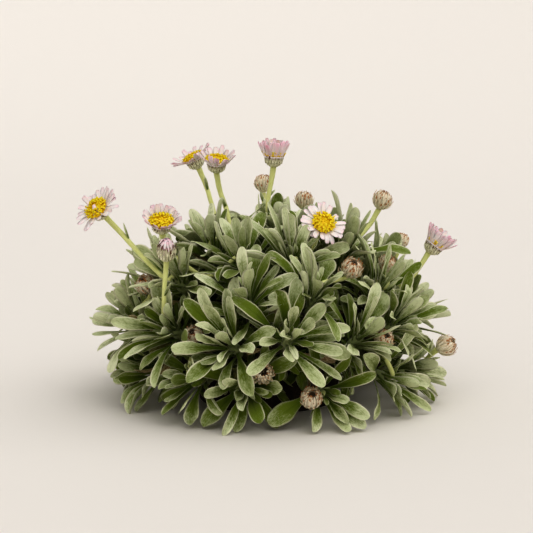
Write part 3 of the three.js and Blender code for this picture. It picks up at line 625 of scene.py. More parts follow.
# The quads between rings of equal size whose points follow one another
def quads_between(rings, sides):
    first, k = np.arange(rings - 1)[:, None] * sides, np.arange(sides)
    after = (k + 1) % sides
    return np.stack([first + k, first + after, first + sides + after, first + sides + k], -1)


# The material slots of a shoot
LEAF_SLOT, STEM_SLOT, BRACT_SLOT = range(3)


# A mesh gathered from closed shapes. Each point also says how far along its leaf or scale it is, how near
# the margin, its tone and dryness from 0 to 1, whether it is on the underside, and its place in the grain.
class Form:
    NUMBERS = ("along", "edge", "tone", "dry", "under")

    def __init__(self):
        self.points, self.quads, self.tris, self.slots = [], [], [], []
        self.values = {name: [] for name in self.NUMBERS}
        self.fibre = []
        self.count = 0

    def add(self, points, quads, tris, slot, fibre=None, **values):
        n = len(points)
        self.points.append(points)
        for name in self.NUMBERS:
            self.values[name].append(np.broadcast_to(np.asarray(values.get(name, 0), float), n))
        self.fibre.append(points if fibre is None else fibre)
        self.quads.append(np.reshape(quads, (-1, 4)).astype(int) + self.count)
        self.tris.append(np.reshape(tris, (-1, 3)).astype(int) + self.count)
        self.slots.append((len(self.quads[-1]), len(self.tris[-1]), slot))
        self.count += n

    # Rings of equal size, counter-clockwise about the way they go, closed with a point at either end
    def skin(self, rings, slot=0, fibre=None, **values):
        rings = np.asarray(rings)
        n, m = rings.shape[:2]
        k = np.arange(m)
        after = (k + 1) % m
        end = (n - 1) * m
        start_fan = np.stack([np.full(m, n * m), after, k], -1)
        end_fan = np.stack([np.full(m, n * m + 1), end + k, end + after], -1)

        def with_ends(grid):
            return np.concatenate([grid.reshape(n * m, -1), [grid[0].mean(0), grid[-1].mean(0)]])

        spread = {
            name: with_ends(np.broadcast_to(np.asarray(v, float), (n, m))[..., None])[:, 0]
            for name, v in values.items()
        }
        fibre = None if fibre is None else with_ends(fibre)
        fans = np.vstack([start_fan, end_fan])
        self.add(with_ends(rings), quads_between(n, m), fans, slot, fibre, **spread)

    # Three-sided spikes from their roots to their tips
    def spikes(self, roots, tips, radius, **values):
        n = len(roots)
        along = unit(tips - roots)
        across = unit(np.cross(along, vector((0.31, 0.52, 0.79))))
        other = np.cross(along, across)
        feet = [roots + radius * turned(across, other, w) for w in full_turn(3)]
        points = np.stack([*feet, tips], 1).reshape(-1, 3)
        first = 4 * np.arange(n)[:, None, None]
        tris = first + np.array([(0, 2, 1), (0, 1, 3), (1, 2, 3), (2, 0, 3)])
        wide = {name: np.repeat(np.broadcast_to(v, n), 4) for name, v in values.items()}
        self.add(points, [], tris, LEAF_SLOT, **wide)

    def build(self, name, materials):
        mesh = bpy.data.meshes.new(name)
        points = np.concatenate(self.points) * MM
        quads, tris = np.concatenate(self.quads), np.concatenate(self.tris)
        mesh.vertices.add(len(points))
        mesh.vertices.foreach_set("co", points.ravel())
        mesh.loops.add(quads.size + tris.size)
        mesh.loops.foreach_set("vertex_index", np.concatenate([quads.ravel(), tris.ravel()]))
        mesh.polygons.add(len(quads) + len(tris))
        starts = [4 * np.arange(len(quads)), quads.size + 3 * np.arange(len(tris))]
        mesh.polygons.foreach_set("loop_start", np.concatenate(starts))
        slots = [np.repeat([s[2] for s in self.slots], [s[i] for s in self.slots]) for i in (0, 1)]
        mesh.polygons.foreach_set("material_index", np.concatenate(slots))
        mesh.polygons.foreach_set("use_smooth", np.ones(len(mesh.polygons), bool))
        mesh.update(calc_edges=True)
        mesh.validate()
        for key, lists in self.values.items():
            layer = mesh.attributes.new(key, "FLOAT", "POINT")
            layer.data.foreach_set("value", np.concatenate(lists))
        layer = mesh.attributes.new("fibre", "FLOAT_VECTOR", "POINT")
        layer.data.foreach_set("vector", np.concatenate(self.fibre).ravel())
        for material in materials:
            mesh.materials.append(material)
        piece = bpy.data.objects.new(name, mesh)
        bpy.context.scene.collection.objects.link(piece)
        return piece


# Points between the given ones on a smooth curve through them, with any other columns carried along
def smoothed(points, steps):
    p = np.asarray(points, float)
    before = np.vstack([2 * p[:1] - p[1:2], p[:-2]])
    after = np.vstack([p[2:], 2 * p[-1:] - p[-2:-1]])
    t = np.linspace(0, 1, steps, endpoint=False)[None, :, None]
    p0, p1, p2, p3 = (q[:, None] for q in (before, p[:-1], p[1:], after))
    curve = 0.5 * (
        2 * p1 + (p2 - p0) * t + (2 * p0 - 5 * p1 + 4 * p2 - p3) * t**2 + (3 * p1 - p0 - 3 * p2 + p3) * t**3
    )
    return np.vstack([curve.reshape(-1, p.shape[1]), p[-1:]])


# The grain differs from piece to piece, up to so many, and a leaf's underside lies so far aside in it
GRAINS = 977
UNDERSIDE = 40


# Each point's place in the grain: along it, across it and the number of its piece
def grain(along, across, number):
    return np.stack(np.broadcast_arrays(along, across, number), -1)


BARK_ROUGH = 0.93, 1.05
BARK_GRAIN = 2


# A round stem along points, bark and all
def add_stem(form, points, radii, end, sides, seed, tone, dry=0.0):
    rough = np.random.default_rng(seed)
    rings = np.array(rings_along(points, radii, np.zeros(len(points)), end, sides))
    middles = rings.mean(1, keepdims=True)
    rings = middles + (rings - middles) * rough.uniform(*BARK_ROUGH, rings.shape[:2])[..., None]
    run = distances(points)[:, None]
    w = full_turn(sides)
    fibre = grain(run, BARK_GRAIN * np.cos(w), BARK_GRAIN * np.sin(w) + seed)
    form.skin(rings, STEM_SLOT, fibre, along=run / run[-1], edge=0.3, tone=tone, dry=dry)


# Fine leaves: a spoon-shaped blade with a round tip, a channel above, a rib below and a felted margin
LEAF_STATIONS = np.array(
    [-0.05, 0.06, 0.16, 0.26, 0.36, 0.46, 0.56, 0.65, 0.73, 0.8, 0.86, 0.91, 0.95, 0.975, 0.99, 0.998]
)
COARSE_STATIONS = np.array([-0.05, 0.14, 0.34, 0.54, 0.7, 0.82, 0.9, 0.955, 0.985, 0.998])
SPOON_GROWTH = 0.54
SPOON_END = 0.79
SECTION = np.array([
    (1, 0), (0.85, 1), (0.5, 1), (0.16, 1), (0, 1), (-0.16, 1), (-0.5, 1), (-0.85, 1),
    (-1, 0), (-0.75, -1), (-0.3, -1), (0, -1), (0.3, -1), (0.75, -1),
]).T
COARSE_SECTION = SECTION[:, [0, 2, 4, 6, 8, 11]]
LEAF_LIFT = 1.2
LEAF_SINK = 0.38
LEAF_HALF = 0.32
MARGIN_SHARE = 0.4
GROOVE, GROOVE_WIDTH = 0.2, 0.1
RIB, RIB_WIDTH = 0.3, 0.16
RIPPLE, RIPPLE_BEATS = 0.05, 2.3
HOOK_FROM = 0.6
FULL_RELIEF_HALF = 2.2
HAIR_RADIUS = 0.05
HAIR_LENGTH = 0.25, 0.8

# How leaves differ: how far they fold up and their margins wave, and in how many beats, how far their tips
# hook down, and how narrow they are. Some fold or hook more, and dry ones fold, wave and shrink more.
LEAF_VARIES = SimpleNamespace(
    fold=(-0.3, 1.5), folded_share=0.15, folded_more=1.5, folded_dry=1.2, wave=0.42, wave_share=(0.2, 1),
    beats=(1.6, 3), hook=(0.7, 0.9), hooked_share=0.2, hooked_more=2, narrow=(0.72, 1.02), narrow_dry=0.3,
)


def spoon_width(s):
    blade = PETIOLE + (1 - PETIOLE) * smooth((s - BLADE_FROM) / SPOON_GROWTH)
    return blade * np.sqrt(np.clip(1 - (np.clip(s - SPOON_END, 0, 1) / (1 - SPOON_END)) ** 2, 0, 1))


# The hairs on a leaf's margin, and its stations and section, for each fineness
LEAF_DETAIL = {
    FULL: (18, LEAF_STATIONS, SECTION), YOUNG: (10, COARSE_STATIONS, SECTION),
    PARTLY_HIDDEN: (8, COARSE_STATIONS, SECTION), DEEP: (0, COARSE_STATIONS, COARSE_SECTION),
}


def leaf_look(leaf, vary):
    v = LEAF_VARIES
    folded = vary.uniform(*v.fold) + (vary.random() < v.folded_share) * v.folded_more
    folded += leaf.dry * v.folded_dry
    wave = v.wave * vary.uniform(*v.wave_share) * (1 + leaf.dry)
    beat, phase = vary.uniform(*v.beats), vary.uniform(0, TAU, 2)
    hook = vary.normal(*v.hook) + (vary.random() < v.hooked_share) * v.hooked_more
    narrow = vary.uniform(*v.narrow) * (1 - v.narrow_dry * leaf.dry)
    return SimpleNamespace(folded=folded, wave=wave, beat=beat, phase=phase, hook=hook, narrow=narrow)


# The frame of a leaf with its hooked tip, and half its width
def hooked_frame(leaf, look, stations):
    point, across, normal = leaf_frame(leaf, stations)
    drop = look.hook * np.clip((stations - HOOK_FROM) / (1 - HOOK_FROM), 0, 1) ** 2
    half = leaf.width * look.narrow * spoon_width(np.clip(stations, 0, 1)) / 2
    return point - normal * drop[:, None], across, normal, half[:, None]


# How far the blade rises off its midline at x, from -1 to 1 across it: it folds up, and its margins wave
def blade_rise(look, s, x, relief):
    fold = LEAF_LIFT * np.abs(x) ** 1.7 * look.folded - LEAF_SINK
    curl = look.wave * np.abs(x) ** 3 * np.sin(TAU * look.beat * s + np.where(x > 0, *look.phase))
    return (fold + curl) * relief


def above_ground(points):
    points[..., 2] = np.maximum(points[..., 2], 0)
    return points


def fine_leaf(form, leaf, seed):
    hairs, stations, section = LEAF_DETAIL[leaf.detail]
    vary = np.random.default_rng(seed)
    look = leaf_look(leaf, vary)
    s = stations[:, None]
    x, face = section
    point, across, normal, half = hooked_frame(leaf, look, stations)
    half = half * (1 + RIPPLE * np.sin(TAU * RIPPLE_BEATS * s + look.phase[0]))
    relief = np.minimum(1, half / FULL_RELIEF_HALF)
    closing = np.clip(4 * (1 - s), 0.25, 1)
    thick = LEAF_HALF * (1 - (1 - MARGIN_SHARE) * x**2) * closing * (0.6 + 0.4 * relief)
    groove = GROOVE * np.exp(-((x / GROOVE_WIDTH) ** 2)) * (face > 0)
    rib = RIB * np.exp(-((x / RIB_WIDTH) ** 2)) * (face < 0) * np.clip(1.15 - s, 0, 1)
    lift = blade_rise(look, s, x, relief) + face * thick - (groove + rib) * relief
    shape = point[:, None] + across[:, None] * (x * half)[..., None] + normal[:, None] * lift[..., None]
    fibre = grain(s * leaf.length, x * half + UNDERSIDE * (face < 0), seed % GRAINS)
    tone = vary.random()
    form.skin(
        above_ground(shape), LEAF_SLOT, fibre, along=s, edge=np.abs(x), tone=tone, dry=leaf.dry,
        under=(face < 0).astype(float),
    )
    if hairs:
        add_hairs(form, leaf, look, hairs, tone, vary)


def add_hairs(form, leaf, look, hairs, tone, vary):
    t = vary.uniform(0.22, 1, hairs) ** 0.7
    side = np.where(vary.random(hairs) < 0.5, 1.0, -1.0)[:, None]
    point, across, normal, half = hooked_frame(leaf, look, t)
    rise = blade_rise(look, t[:, None], side, np.minimum(1, half / FULL_RELIEF_HALF))
    roots = point + across * side * half * 0.97 + normal * rise
    tangle = vary.normal(0, 0.35, (hairs, 3))
    way = unit(across * side + np.cross(across, normal) * 0.8 + tangle)
    tips = above_ground(roots + way * vary.uniform(*HAIR_LENGTH, (hairs, 1)))
    form.spikes(roots, tips, HAIR_RADIUS, along=t, edge=1.0, tone=tone, dry=leaf.dry, under=1.0)


# Small young leaves that stand close together in the heart of a rosette
HEART_LEAVES = 10
HEART_TRIES = 8
HEART_ROOM = -0.3
HEART_HEIGHT = 2.7, 0.9
HEART_LENGTH = 8, 20
HEART_WIDTH = 2.6, 5.4
HEART_BASE, HEART_BASE_DEPTH = 0.45, 0.3
HEART_SHRINK = 0.95
GOLDEN_TURN = math.pi * (3 - math.sqrt(5))


def heart_leaves(rosette, spine, seed, bodies):
    vary = np.random.default_rng(seed + spine.rosette)
    level, rising = square_to(rosette.axis)
    shoulder, shoulder_radius = CORE_RINGS[-1]
    leaves = []
    for k in range(HEART_LEAVES):
        share = k / (HEART_LEAVES - 1)
        height, length, width = (
            np.interp(share, (0, 1), ends) for ends in (HEART_HEIGHT, HEART_LENGTH, HEART_WIDTH)
        )
        away = shoulder_radius * (CORE_TIP - height) / (CORE_TIP - shoulder)
        away = 0.2 + (max(away, STALK_RADIUS + 0.3) if spine.head else away)
        for tries in range(HEART_TRIES):
            out = turned(rising, level, k * GOLDEN_TURN + vary.uniform(-0.3, 0.3) * (1 + tries))
            side = np.cross(rosette.axis, out)
            root = rosette.at + out * away + rosette.axis * height
            below = root + HEART_BASE * out - HEART_BASE_DEPTH * rosette.axis
            base = np.array([root + HEART_BASE * side, root - HEART_BASE * side, below])
            smaller = HEART_SHRINK**tries
            leaf = new_leaf(
                base, root, rosette.axis, out, spine.rosette, YOUNG, twist=vary.uniform(-0.3, 0.3),
                sway=vary.uniform(-0.1, 0.1), angle=radians(vary.uniform(4, 12) + 30 * share),
                bend=radians(vary.uniform(-20, 20)), length=length * smaller, width=width * smaller, dry=0,
            )
            if takes_place(leaf, HEART_ROOM, bodies):
                leaves.append(leaf)
                break
    return leaves


PATH_STEPS = 6


# A place on a stem, so far below the end of its core: its point, its radius and the way the stem runs
def stem_place(path, run, below):
    at = max(run[-1] - below, 0.25 * run[-1])
    point = np.array([np.interp(at, run, column) for column in path.T])
    ahead = np.array([np.interp(at + 1, run, column) for column in path[:, :3].T])
    return point[:3], point[3], unit(ahead - point[:3])


# The smooth line of a stem to the end of its core, with its radii, and the distances along it
def stem_path(spine, steps):
    path = smoothed(np.column_stack([spine.points, spine.radii])[:spine.core_end], steps)
    return path, distances(path[:, :3])


SIDE_BASE, SIDE_BASE_DEPTH = 0.8, 0.9
SIDE_SUNK = 0.98


# A leaf that grows from such a place, phi radians about the stem; its other angles are in degrees
def side_leaf(place, phi, rosette, detail, twist, angle, bend, **shape):
    point, radius, axis = place
    level, rising = square_to(axis)
    out = turned(rising, level, phi)
    side = np.cross(axis, out)
    root = point + out * radius * SIDE_SUNK
    base = np.array([root + SIDE_BASE * side, root - SIDE_BASE * side, root - SIDE_BASE_DEPTH * axis])
    return new_leaf(
        base, root, axis, out, rosette, detail,
        twist=radians(twist), angle=radians(angle), bend=radians(bend), **shape,
    )


# More leaves than the solids carry, between those of the rosettes and down the stems. They leave the heads
# free. The oldest hang, and a few of the older ones have dried.
HEAD_CLEARING = 13
FILL = SimpleNamespace(
    attempts=150, tries=5, room=-0.25, high=1, low=52, crowding=1.3, old=26, deep_age=0.8,
    hanging=(10, 50), hanging_share=0.5, dry=(0.6, 1), dry_age=0.4, dry_share=0.1,
    young=(0.45, 1), older_shorter=0.12, twist=(-40, 40), sway=(-0.16, 0.16), angle=(12, 62), older_lower=22,
    bend=(-25, 55), length=(0.9, 1.1), width=(0.62, 0.92),
)


def clear_heads(heads, bodies):
    for head in heads:
        if head.kind == "dried":
            r = head.radius
            room = [(0, 0), (0, r * 0.8), (HEAD_CLEARING, r), (HEAD_CLEARING, 0)]
            bodies.add(round_body(head.at, head.facing, room, HEAD_ROOM_SIDES, "head"))


def fill_leaves(rosettes, spines, bodies):
    filled = []
    paths = [stem_path(spine, PATH_STEPS) for spine in spines]
    vary = np.random.default_rng(31)
    for _ in range(FILL.attempts):
        for spine, path in zip(spines, paths):
            ring = rosettes[spine.rosette].ring
            below = FILL.high + (FILL.low - FILL.high) * vary.random() ** FILL.crowding
            place = stem_place(*path, below)
            if place[0][2] < POT_HEIGHT + 1:
                continue
            old = min(below / FILL.old, 1)
            hanging = vary.uniform(*FILL.hanging) * (vary.random() < FILL.hanging_share * old)
            dry = vary.uniform(*FILL.dry) if old > FILL.dry_age and vary.random() < FILL.dry_share else 0
            detail = DEEP if old > FILL.deep_age else PARTLY_HIDDEN
            for _ in range(FILL.tries):
                young = vary.uniform(*FILL.young) * (1 - FILL.older_shorter * old)
                leaf = side_leaf(
                    place, vary.uniform(0, TAU), spine.rosette, detail,
                    twist=vary.uniform(*FILL.twist), sway=vary.uniform(*FILL.sway),
                    angle=vary.uniform(*FILL.angle) + FILL.older_lower * old + hanging,
                    bend=vary.uniform(*FILL.bend), length=ring.length * young * vary.uniform(*FILL.length),
                    width=LEAF_WIDTH * young**0.5 * vary.uniform(*FILL.width), dry=dry,
                )
                if takes_place(leaf, FILL.room, bodies):
                    filled.append(leaf)
                    break
    return filled


# Withering leaves that lie against each other deep inside the dome and close it to sight
THATCH = SimpleNamespace(
    count=17, high=16, low=62, astray=(-1, 1), twist=(-40, 40), angle=(40, 100), bend=(-30, 30),
    length=(13, 19), width=(4, 5.5), dry=(0, 0.5),
)


def thatch_leaves(spines):
    leaves = []
    vary = np.random.default_rng(5)
    for spine in spines:
        path = stem_path(spine, PATH_STEPS)
        for below in np.linspace(THATCH.high, THATCH.low, THATCH.count):
            place = stem_place(*path, below + vary.uniform(*THATCH.astray))
            if place[0][2] < POT_HEIGHT + 2:
                continue
            leaf = side_leaf(
                place, vary.uniform(0, TAU), spine.rosette, DEEP, sway=0,
                twist=vary.uniform(*THATCH.twist), angle=vary.uniform(*THATCH.angle),
                bend=vary.uniform(*THATCH.bend), length=vary.uniform(*THATCH.length),
                width=vary.uniform(*THATCH.width), dry=vary.uniform(*THATCH.dry),
            )
            if stands_free(blade_points(leaf, 0)):
                leaves.append(leaf)
    return leaves


# Narrow scales and bracts: a pointed blade from its root, lying along one way and bowing towards another.
# The corners of its section are at the margins, on the keel and underneath.
SCALE_SECTION = np.array([(1, 0), (0, 0.35), (-1, 0), (0, -1)]).T
SCALE_UNDER = np.array([0.5, 0, 0.5, 1])
SCALE_TIP = 0.05


def add_scale(
    form, root, way, side, bow, length, width, thick, seed, tone, slot=0, steps=6, widest=0.4, blunt=1.0,
):
    t = np.linspace(0, 1, steps + 1)
    s = t[:, None]
    face = np.cross(way, side)
    middle = root + way * length * s + bow * s * s
    widening = 0.55 + 0.45 * np.sin(math.pi / 2 * t / widest)
    narrowing = np.cos(math.pi / 2 * np.clip((t - widest) / (1 - widest + SCALE_TIP), 0, 1)) ** blunt
    taper = np.where(t < widest, widening, narrowing)
    half = (width / 2 * np.maximum(taper, 0.06))[:, None]
    x, z = SCALE_SECTION
    rise = thick * z * np.clip(3 * (1.1 - s), 0.2, 1)
    rings = middle[:, None] + side * (x * half)[..., None] + face * rise[..., None]
    fibre = grain(s * length, x * half, seed % GRAINS)
    form.skin(rings, slot, fibre, along=s, edge=np.abs(x), tone=tone, under=SCALE_UNDER)


# Stalks bear a few small leaves that stand off them
STALK_LEAVES = 4
STALK_LEAF_WIDTH, STALK_LEAF_THICK = 1.9, 0.24


def stalk_leaves(form, head, seed):
    vary = np.random.default_rng(seed)
    path = smoothed(head.points, 6)
    for k in range(STALK_LEAVES):
        i = int((0.16 + 0.74 * (k + vary.uniform(0, 0.6)) / STALK_LEAVES) * (len(path) - 2))
        along = unit(path[i + 1] - path[i])
        out = turned(*square_to(along), k * GOLDEN_TURN + vary.uniform(0, 1))
        length = vary.uniform(5, 8.5)
        way = unit(along + vary.uniform(0.3, 0.7) * out)
        root = path[i] + out * STALK_RADIUS * 0.8
        bow = out * vary.uniform(0.2, 1.4)
        add_scale(
            form, root, way, np.cross(out, along), bow, length, STALK_LEAF_WIDTH, STALK_LEAF_THICK,
            seed + k, vary.uniform(0.4, 0.8), steps=7, widest=0.5, blunt=0.7,
        )


# The stem, the core and the stalk of a rosette, each on one smooth line. The bark ends below the core.
STEM_SIDES, STALK_SIDES = 9, 10
STALK_SWELL = 0.35
CORE_SHRINK = 0.9
BARK_END, GREEN_FROM = 16, 7


def add_spine(form, spine, seed):
    path, run = stem_path(spine, 3)
    points, radii = path[:, :3], path[:, 3]
    along = unit(points[-1] - points[-2])
    dry = 0.6 * smooth((run[-1] - run - GREEN_FROM) / (BARK_END - GREEN_FROM))[:, None]
    add_stem(form, points, radii * CORE_SHRINK, along, STEM_SIDES, seed, 0.1, dry=dry)
    if spine.head:
        stalk = smoothed(spine.head.points, 5)
        swell = STALK_RADIUS * (1 + STALK_SWELL * np.linspace(0, 1, len(stalk)) ** 6)
        stalk = np.vstack([spine.points[spine.core_end - 1], stalk])
        swell = np.append(STALK_RADIUS, swell)
        add_stem(form, stalk, swell, spine.head.facing, STALK_SIDES, seed + 1, 0.8)
        stalk_leaves(form, spine.head, seed + 2)


# Heads in flower: a cup of bracts, rays in a ring and florets on a dome
CUP_BODY = [(-5.4, 1), (-5.1, 2), (-4.4, 3.1), (-3.2, 3.9), (-1.8, 4.4), (-0.9, 4.4), (-1.2, 3.8)]
CLOSING_BODY = [(-5.6, 1), (-5.2, 2), (-4.4, 3), (-2.4, 4.1), (-0.4, 4.4), (1.4, 4.2), (2.6, 3.4), (2, 2.6)]
# Rows of bracts: how many, where their roots are along and out, their length, lean and width, and how far
# their tips bow inwards
CUP_ROWS = [
    (15, -5.2, 1.9, 4, 48, 1.4, 0), (17, -4.5, 3.2, 4.5, 64, 1.5, 0.4), (19, -3.5, 4.3, 4.9, 80, 1.5, 0.3),
]
CLOSING_ROWS = [
    (13, -5.3, 2, 4.6, 50, 1.4, 0.3), (15, -4.6, 3.3, 6, 66, 1.5, 1.2), (17, -3.2, 4.4, 7, 84, 1.5, 1.4),
    (15, -0.8, 4.8, 5.6, 100, 1.5, 1.1),
]
BRACT_THICK = 0.2


# Places round a head, each a little astray: the way out from the middle and the way to the next one
def ring_places(head, count, vary, spread, turn=0.0):
    a, b = square_to(head.facing)
    for k in range(count):
        w = TAU * (k + turn + vary.uniform(-spread, spread)) / count
        yield turned(a, b, w), turned(b, -a, w)


def add_cup(form, head, seed):
    vary = np.random.default_rng(seed)
    body, rows = (CLOSING_BODY, CLOSING_ROWS) if head.kind == "closing" else (CUP_BODY, CUP_ROWS)
    form.skin(circles(head.at, head.facing, body, 20), BRACT_SLOT, along=0.2, tone=0.3)
    for row, (count, along, out, length, lean, width, inward) in enumerate(rows):
        for away, side in ring_places(head, count, vary, 0.2, row / 2):
            way = turned(away, head.facing, radians(lean + vary.uniform(-5, 5)))
            root = head.at + along * head.facing + away * out
            bow = -away * inward * vary.uniform(0.6, 1.1)
            add_scale(
                form, root, way, -side, bow, length * vary.uniform(0.88, 1.08), width, BRACT_THICK,
                seed + 10 * row, vary.random(), slot=BRACT_SLOT, widest=0.3,
            )


RAY_ROW = 5.3
RAY_ACROSS = np.array([1, 0.5, 0, -0.5, -1, -0.5, 0, 0.5])
RAY_FACE = np.array([0, 1, 1, 1, 0, -1, -1, -1])
RAY_STATIONS = np.array([-0.12, 0.06, 0.22, 0.4, 0.58, 0.76, 0.9, 0.97, 1.0])
RAY_HALF = 1.4
RAY_THICK = 0.13
RAY_CLAW, RAY_CLAW_END = 0.42, 0.36
RAY_TIP_FROM, RAY_TIP_END = 0.8, 1.025
RAY_NOTCH, RAY_NOTCH_FROM = 0.55, 0.86
RAY_CHANNEL, RAY_CREASE = 0.3, 0.05
Ray = namedtuple("Ray", "root out side length lift bend twist half pale", defaults=(0,))


def add_ray(form, facing, ray, seed):
    vary = np.random.default_rng(seed)
    t = RAY_STATIONS[:, None]
    angle = ray.lift + ray.bend * t * t
    ways = turned(ray.out, facing, angle)
    steps = np.diff(RAY_STATIONS, prepend=0)[:, None] * ray.length
    middle = ray.root + np.cumsum(steps * ways, 0)
    normal = turned(facing, -ray.out, angle)
    across = turned(ray.side, normal, ray.twist * t)
    normal = turned(normal, -ray.side, ray.twist * t)
    rounding = np.clip((t - RAY_TIP_FROM) / (RAY_TIP_END - RAY_TIP_FROM), 0, None)
    claw = RAY_CLAW + (1 - RAY_CLAW) * smooth(t / RAY_CLAW_END)
    half = ray.half * claw * np.sqrt(np.clip(1 - rounding**2, 0.05, 1))
    x, face = RAY_ACROSS, RAY_FACE
    notch = smooth((t - RAY_NOTCH_FROM) / (1 - RAY_NOTCH_FROM)) * np.cos(math.pi * x) ** 2
    notch = -RAY_NOTCH * notch * (np.abs(x) < 0.6)
    channel = RAY_CHANNEL * x**2 + RAY_CREASE * np.cos(2 * math.pi * x) * (0.4 + 0.6 * t)
    lift = channel + face * RAY_THICK * np.clip(6 * (1.02 - t), 0.25, 1)
    points = middle[:, None] + across[:, None] * (x * half)[..., None]
    points = points + normal[:, None] * lift[..., None] + ways[:, None] * notch[..., None]
    fibre = grain(t * ray.length, x * half, seed % GRAINS)
    tone = ray.pale + (1 - ray.pale) * vary.random()
    form.skin(points, 0, fibre, along=t, edge=np.abs(x), tone=tone, under=(face < 0).astype(float))


# How the rays of each open head stand: their number, the direction of a gap in the ring and its width in
# turns, the share of them that droop, how pale they are, how many from the gap fold over the disc and how
# many degrees they bow inwards
RayLook = namedtuple("RayLook", "number gap wide drooping pale folded bow")
RAY_LOOKS = {
    "bloom_1": RayLook(25, 0.86, 0.16, 0.1, 0.6, 2, 2),
    "bloom_2": RayLook(25, 0, 0, 0, 0.3, 0, 2),
    "bloom_3": RayLook(25, 0.9, 0.14, 0, 0.3, 0, 2),
    "bloom_4": RayLook(25, 0, 0, 0, 0.3, 0, 2),
    "bloom_5": RayLook(23, 0.1, 0.12, 0.12, 0.7, 0, 2),
    "cup_1": RayLook(24, 0, 0, 0, 0, 0, 14),
    "cup_2": RayLook(26, 0, 0, 0, 0.1, 0, 8),
}
FOLDED = SimpleNamespace(lift=radians(152), bend=radians(18), twist=0.3, half=RAY_HALF * 0.7)
RAY_PLATE = [(-0.75, 3), (-0.7, 4.6), (-0.1, 5.2), (0.3, 4.8), (0.35, 3)]
# How rays differ: by their lift in degrees, and every other one is lifted more; how far they bow, their
# length, width and twist. Rays in a gap are stunted, and a few of the others are short or droop.
RAY_VARIES = SimpleNamespace(
    lift=6, lower=-4, upper=5, bow=9, length=(0.9, 1.1), width=(0.84, 1.1), twist=0.22, stunted=0.6,
    short_share=0.08, short=0.75, droop=70,
)


def add_rays(form, head, look, seed):
    v = RAY_VARIES
    vary = np.random.default_rng(seed)
    form.skin(circles(head.at, head.facing, RAY_PLATE, 20), 0, along=0.1, tone=0.5)
    for k, (out, side) in enumerate(ring_places(head, look.number, vary, 0.3)):
        lift = radians(head.lift + vary.normal(0, v.lift) + (v.upper if k % 2 else v.lower))
        bend = radians(vary.normal(look.bow, v.bow))
        length = head.rays * vary.uniform(*v.length)
        turn = (k / look.number - look.gap + 0.5) % 1 - 0.5
        if abs(turn) < look.wide / 2:
            if k % 2:
                continue
            length *= v.stunted
        elif vary.random() < look.drooping:
            bend -= radians(v.droop)
        elif vary.random() < v.short_share:
            length *= v.short
        root = head.at + out * (RAY_ROW - 0.5) - head.facing * vary.uniform(-0.15, 0.3)
        half = RAY_HALF * vary.uniform(*v.width)
        ray = Ray(root, out, side, length + 0.5, lift, bend, vary.normal(0, v.twist), half, look.pale)
        add_ray(form, head.facing, ray, seed + 7 * k)
    for k in range(look.folded):
        out, side = next(ring_places(head, 1, vary, 0, look.gap + look.wide * (k - 0.5) * 0.8))
        root = head.at + out * RAY_ROW + head.facing
        f = FOLDED
        ray = Ray(root, out, side, head.rays, f.lift, f.bend, f.twist, f.half, look.pale)
        add_ray(form, head.facing, ray, seed + 900 + k)


FLORETS = 128
FLORET_DOME = 1.5
FLORET_REACH = FLORET_RADIUS + 0.3
FLORET_BED = [(0.45, 3.6), (0.5, FLORET_REACH - 0.25), (1.1, FLORET_REACH - 0.3), (1.8, 3.1), (2.25, 1.4)]
OPEN_SHARE = 0.42
OPEN_TALL, BUD_TALL = (1.2, 2.3), (0.6, 1.0)


# Florets open from the rim inwards: the open ones are starry tubes, and those in the middle are buds
def floret_profile(opened, tall):
    if opened:
        star = 0.42 + 0.2 * (np.arange(10) % 2)
        return [(-0.4, 0.22), (tall * 0.5, 0.26), (tall * 0.8, 0.34), (tall, star), (tall * 0.84, 0.22)]
    return [(-0.4, 0.28), (tall * 0.5, 0.36), (tall * 0.85, 0.32), (tall, 0.14)]


def add_florets(form, head, seed):
    vary = np.random.default_rng(seed)
    form.skin(circles(head.at, head.facing, FLORET_BED, 18), 0, tone=0.2)
    for k in range(FLORETS):
        share = math.sqrt((k + 0.5) / FLORETS)
        out = turned(*square_to(head.facing), k * GOLDEN_TURN + vary.uniform(-0.15, 0.15))
        height = 0.55 + FLORET_DOME * (1 - share**2)
        root = head.at + out * (FLORET_REACH - 0.35) * share + head.facing * height
        axis = unit(head.facing + out * share**2 * 0.55 + vary.normal(0, 0.07, 3))
        opened = share > OPEN_SHARE + vary.uniform(-0.12, 0.12)
        profile = floret_profile(opened, vary.uniform(*(OPEN_TALL if opened else BUD_TALL)))
        rings = circles(root, axis, profile, 10 if opened else 7, vary.uniform(0, TAU))
        heights = np.linspace(0, 1, len(profile))[:, None]
        form.skin(rings, 0, along=heights, edge=share, tone=vary.random(), dry=0 if opened else 0.4)


# The rays of a closing head fold in over its florets: rows of them, with their number, the place of their
# roots along and out, their lift in degrees and their length
TUFT_ROWS = [(13, 2.6, 3.9, 118, 4.6), (11, 2.8, 3.2, 128, 4.2), (8, 3.2, 1.9, 112, 3.4)]
TUFT_DOME = [(1.2, 3), (2.4, 3.4), (3.6, 2.8), (4.4, 1.6), (4.7, 0.5)]
TUFT_HALF = 0.75


def add_tuft(form, head, seed):
    vary = np.random.default_rng(seed)
    form.skin(circles(head.at, head.facing, TUFT_DOME, 14), 0, along=1, tone=0.2, under=1)
    for row, (count, along, out_at, lift, length) in enumerate(TUFT_ROWS):
        for k, (out, side) in enumerate(ring_places(head, count, vary, 0.3, row / 2)):
            root = head.at + out * out_at + head.facing * along
            angle, bend = radians(lift + vary.normal(0, 5)), radians(vary.normal(24, 10))
            size = length * vary.uniform(0.85, 1.1)
            ray = Ray(root, out, side, size, angle, bend, vary.normal(0, 0.3), TUFT_HALF)
            add_ray(form, head.facing, ray, seed + 40 * row + k)


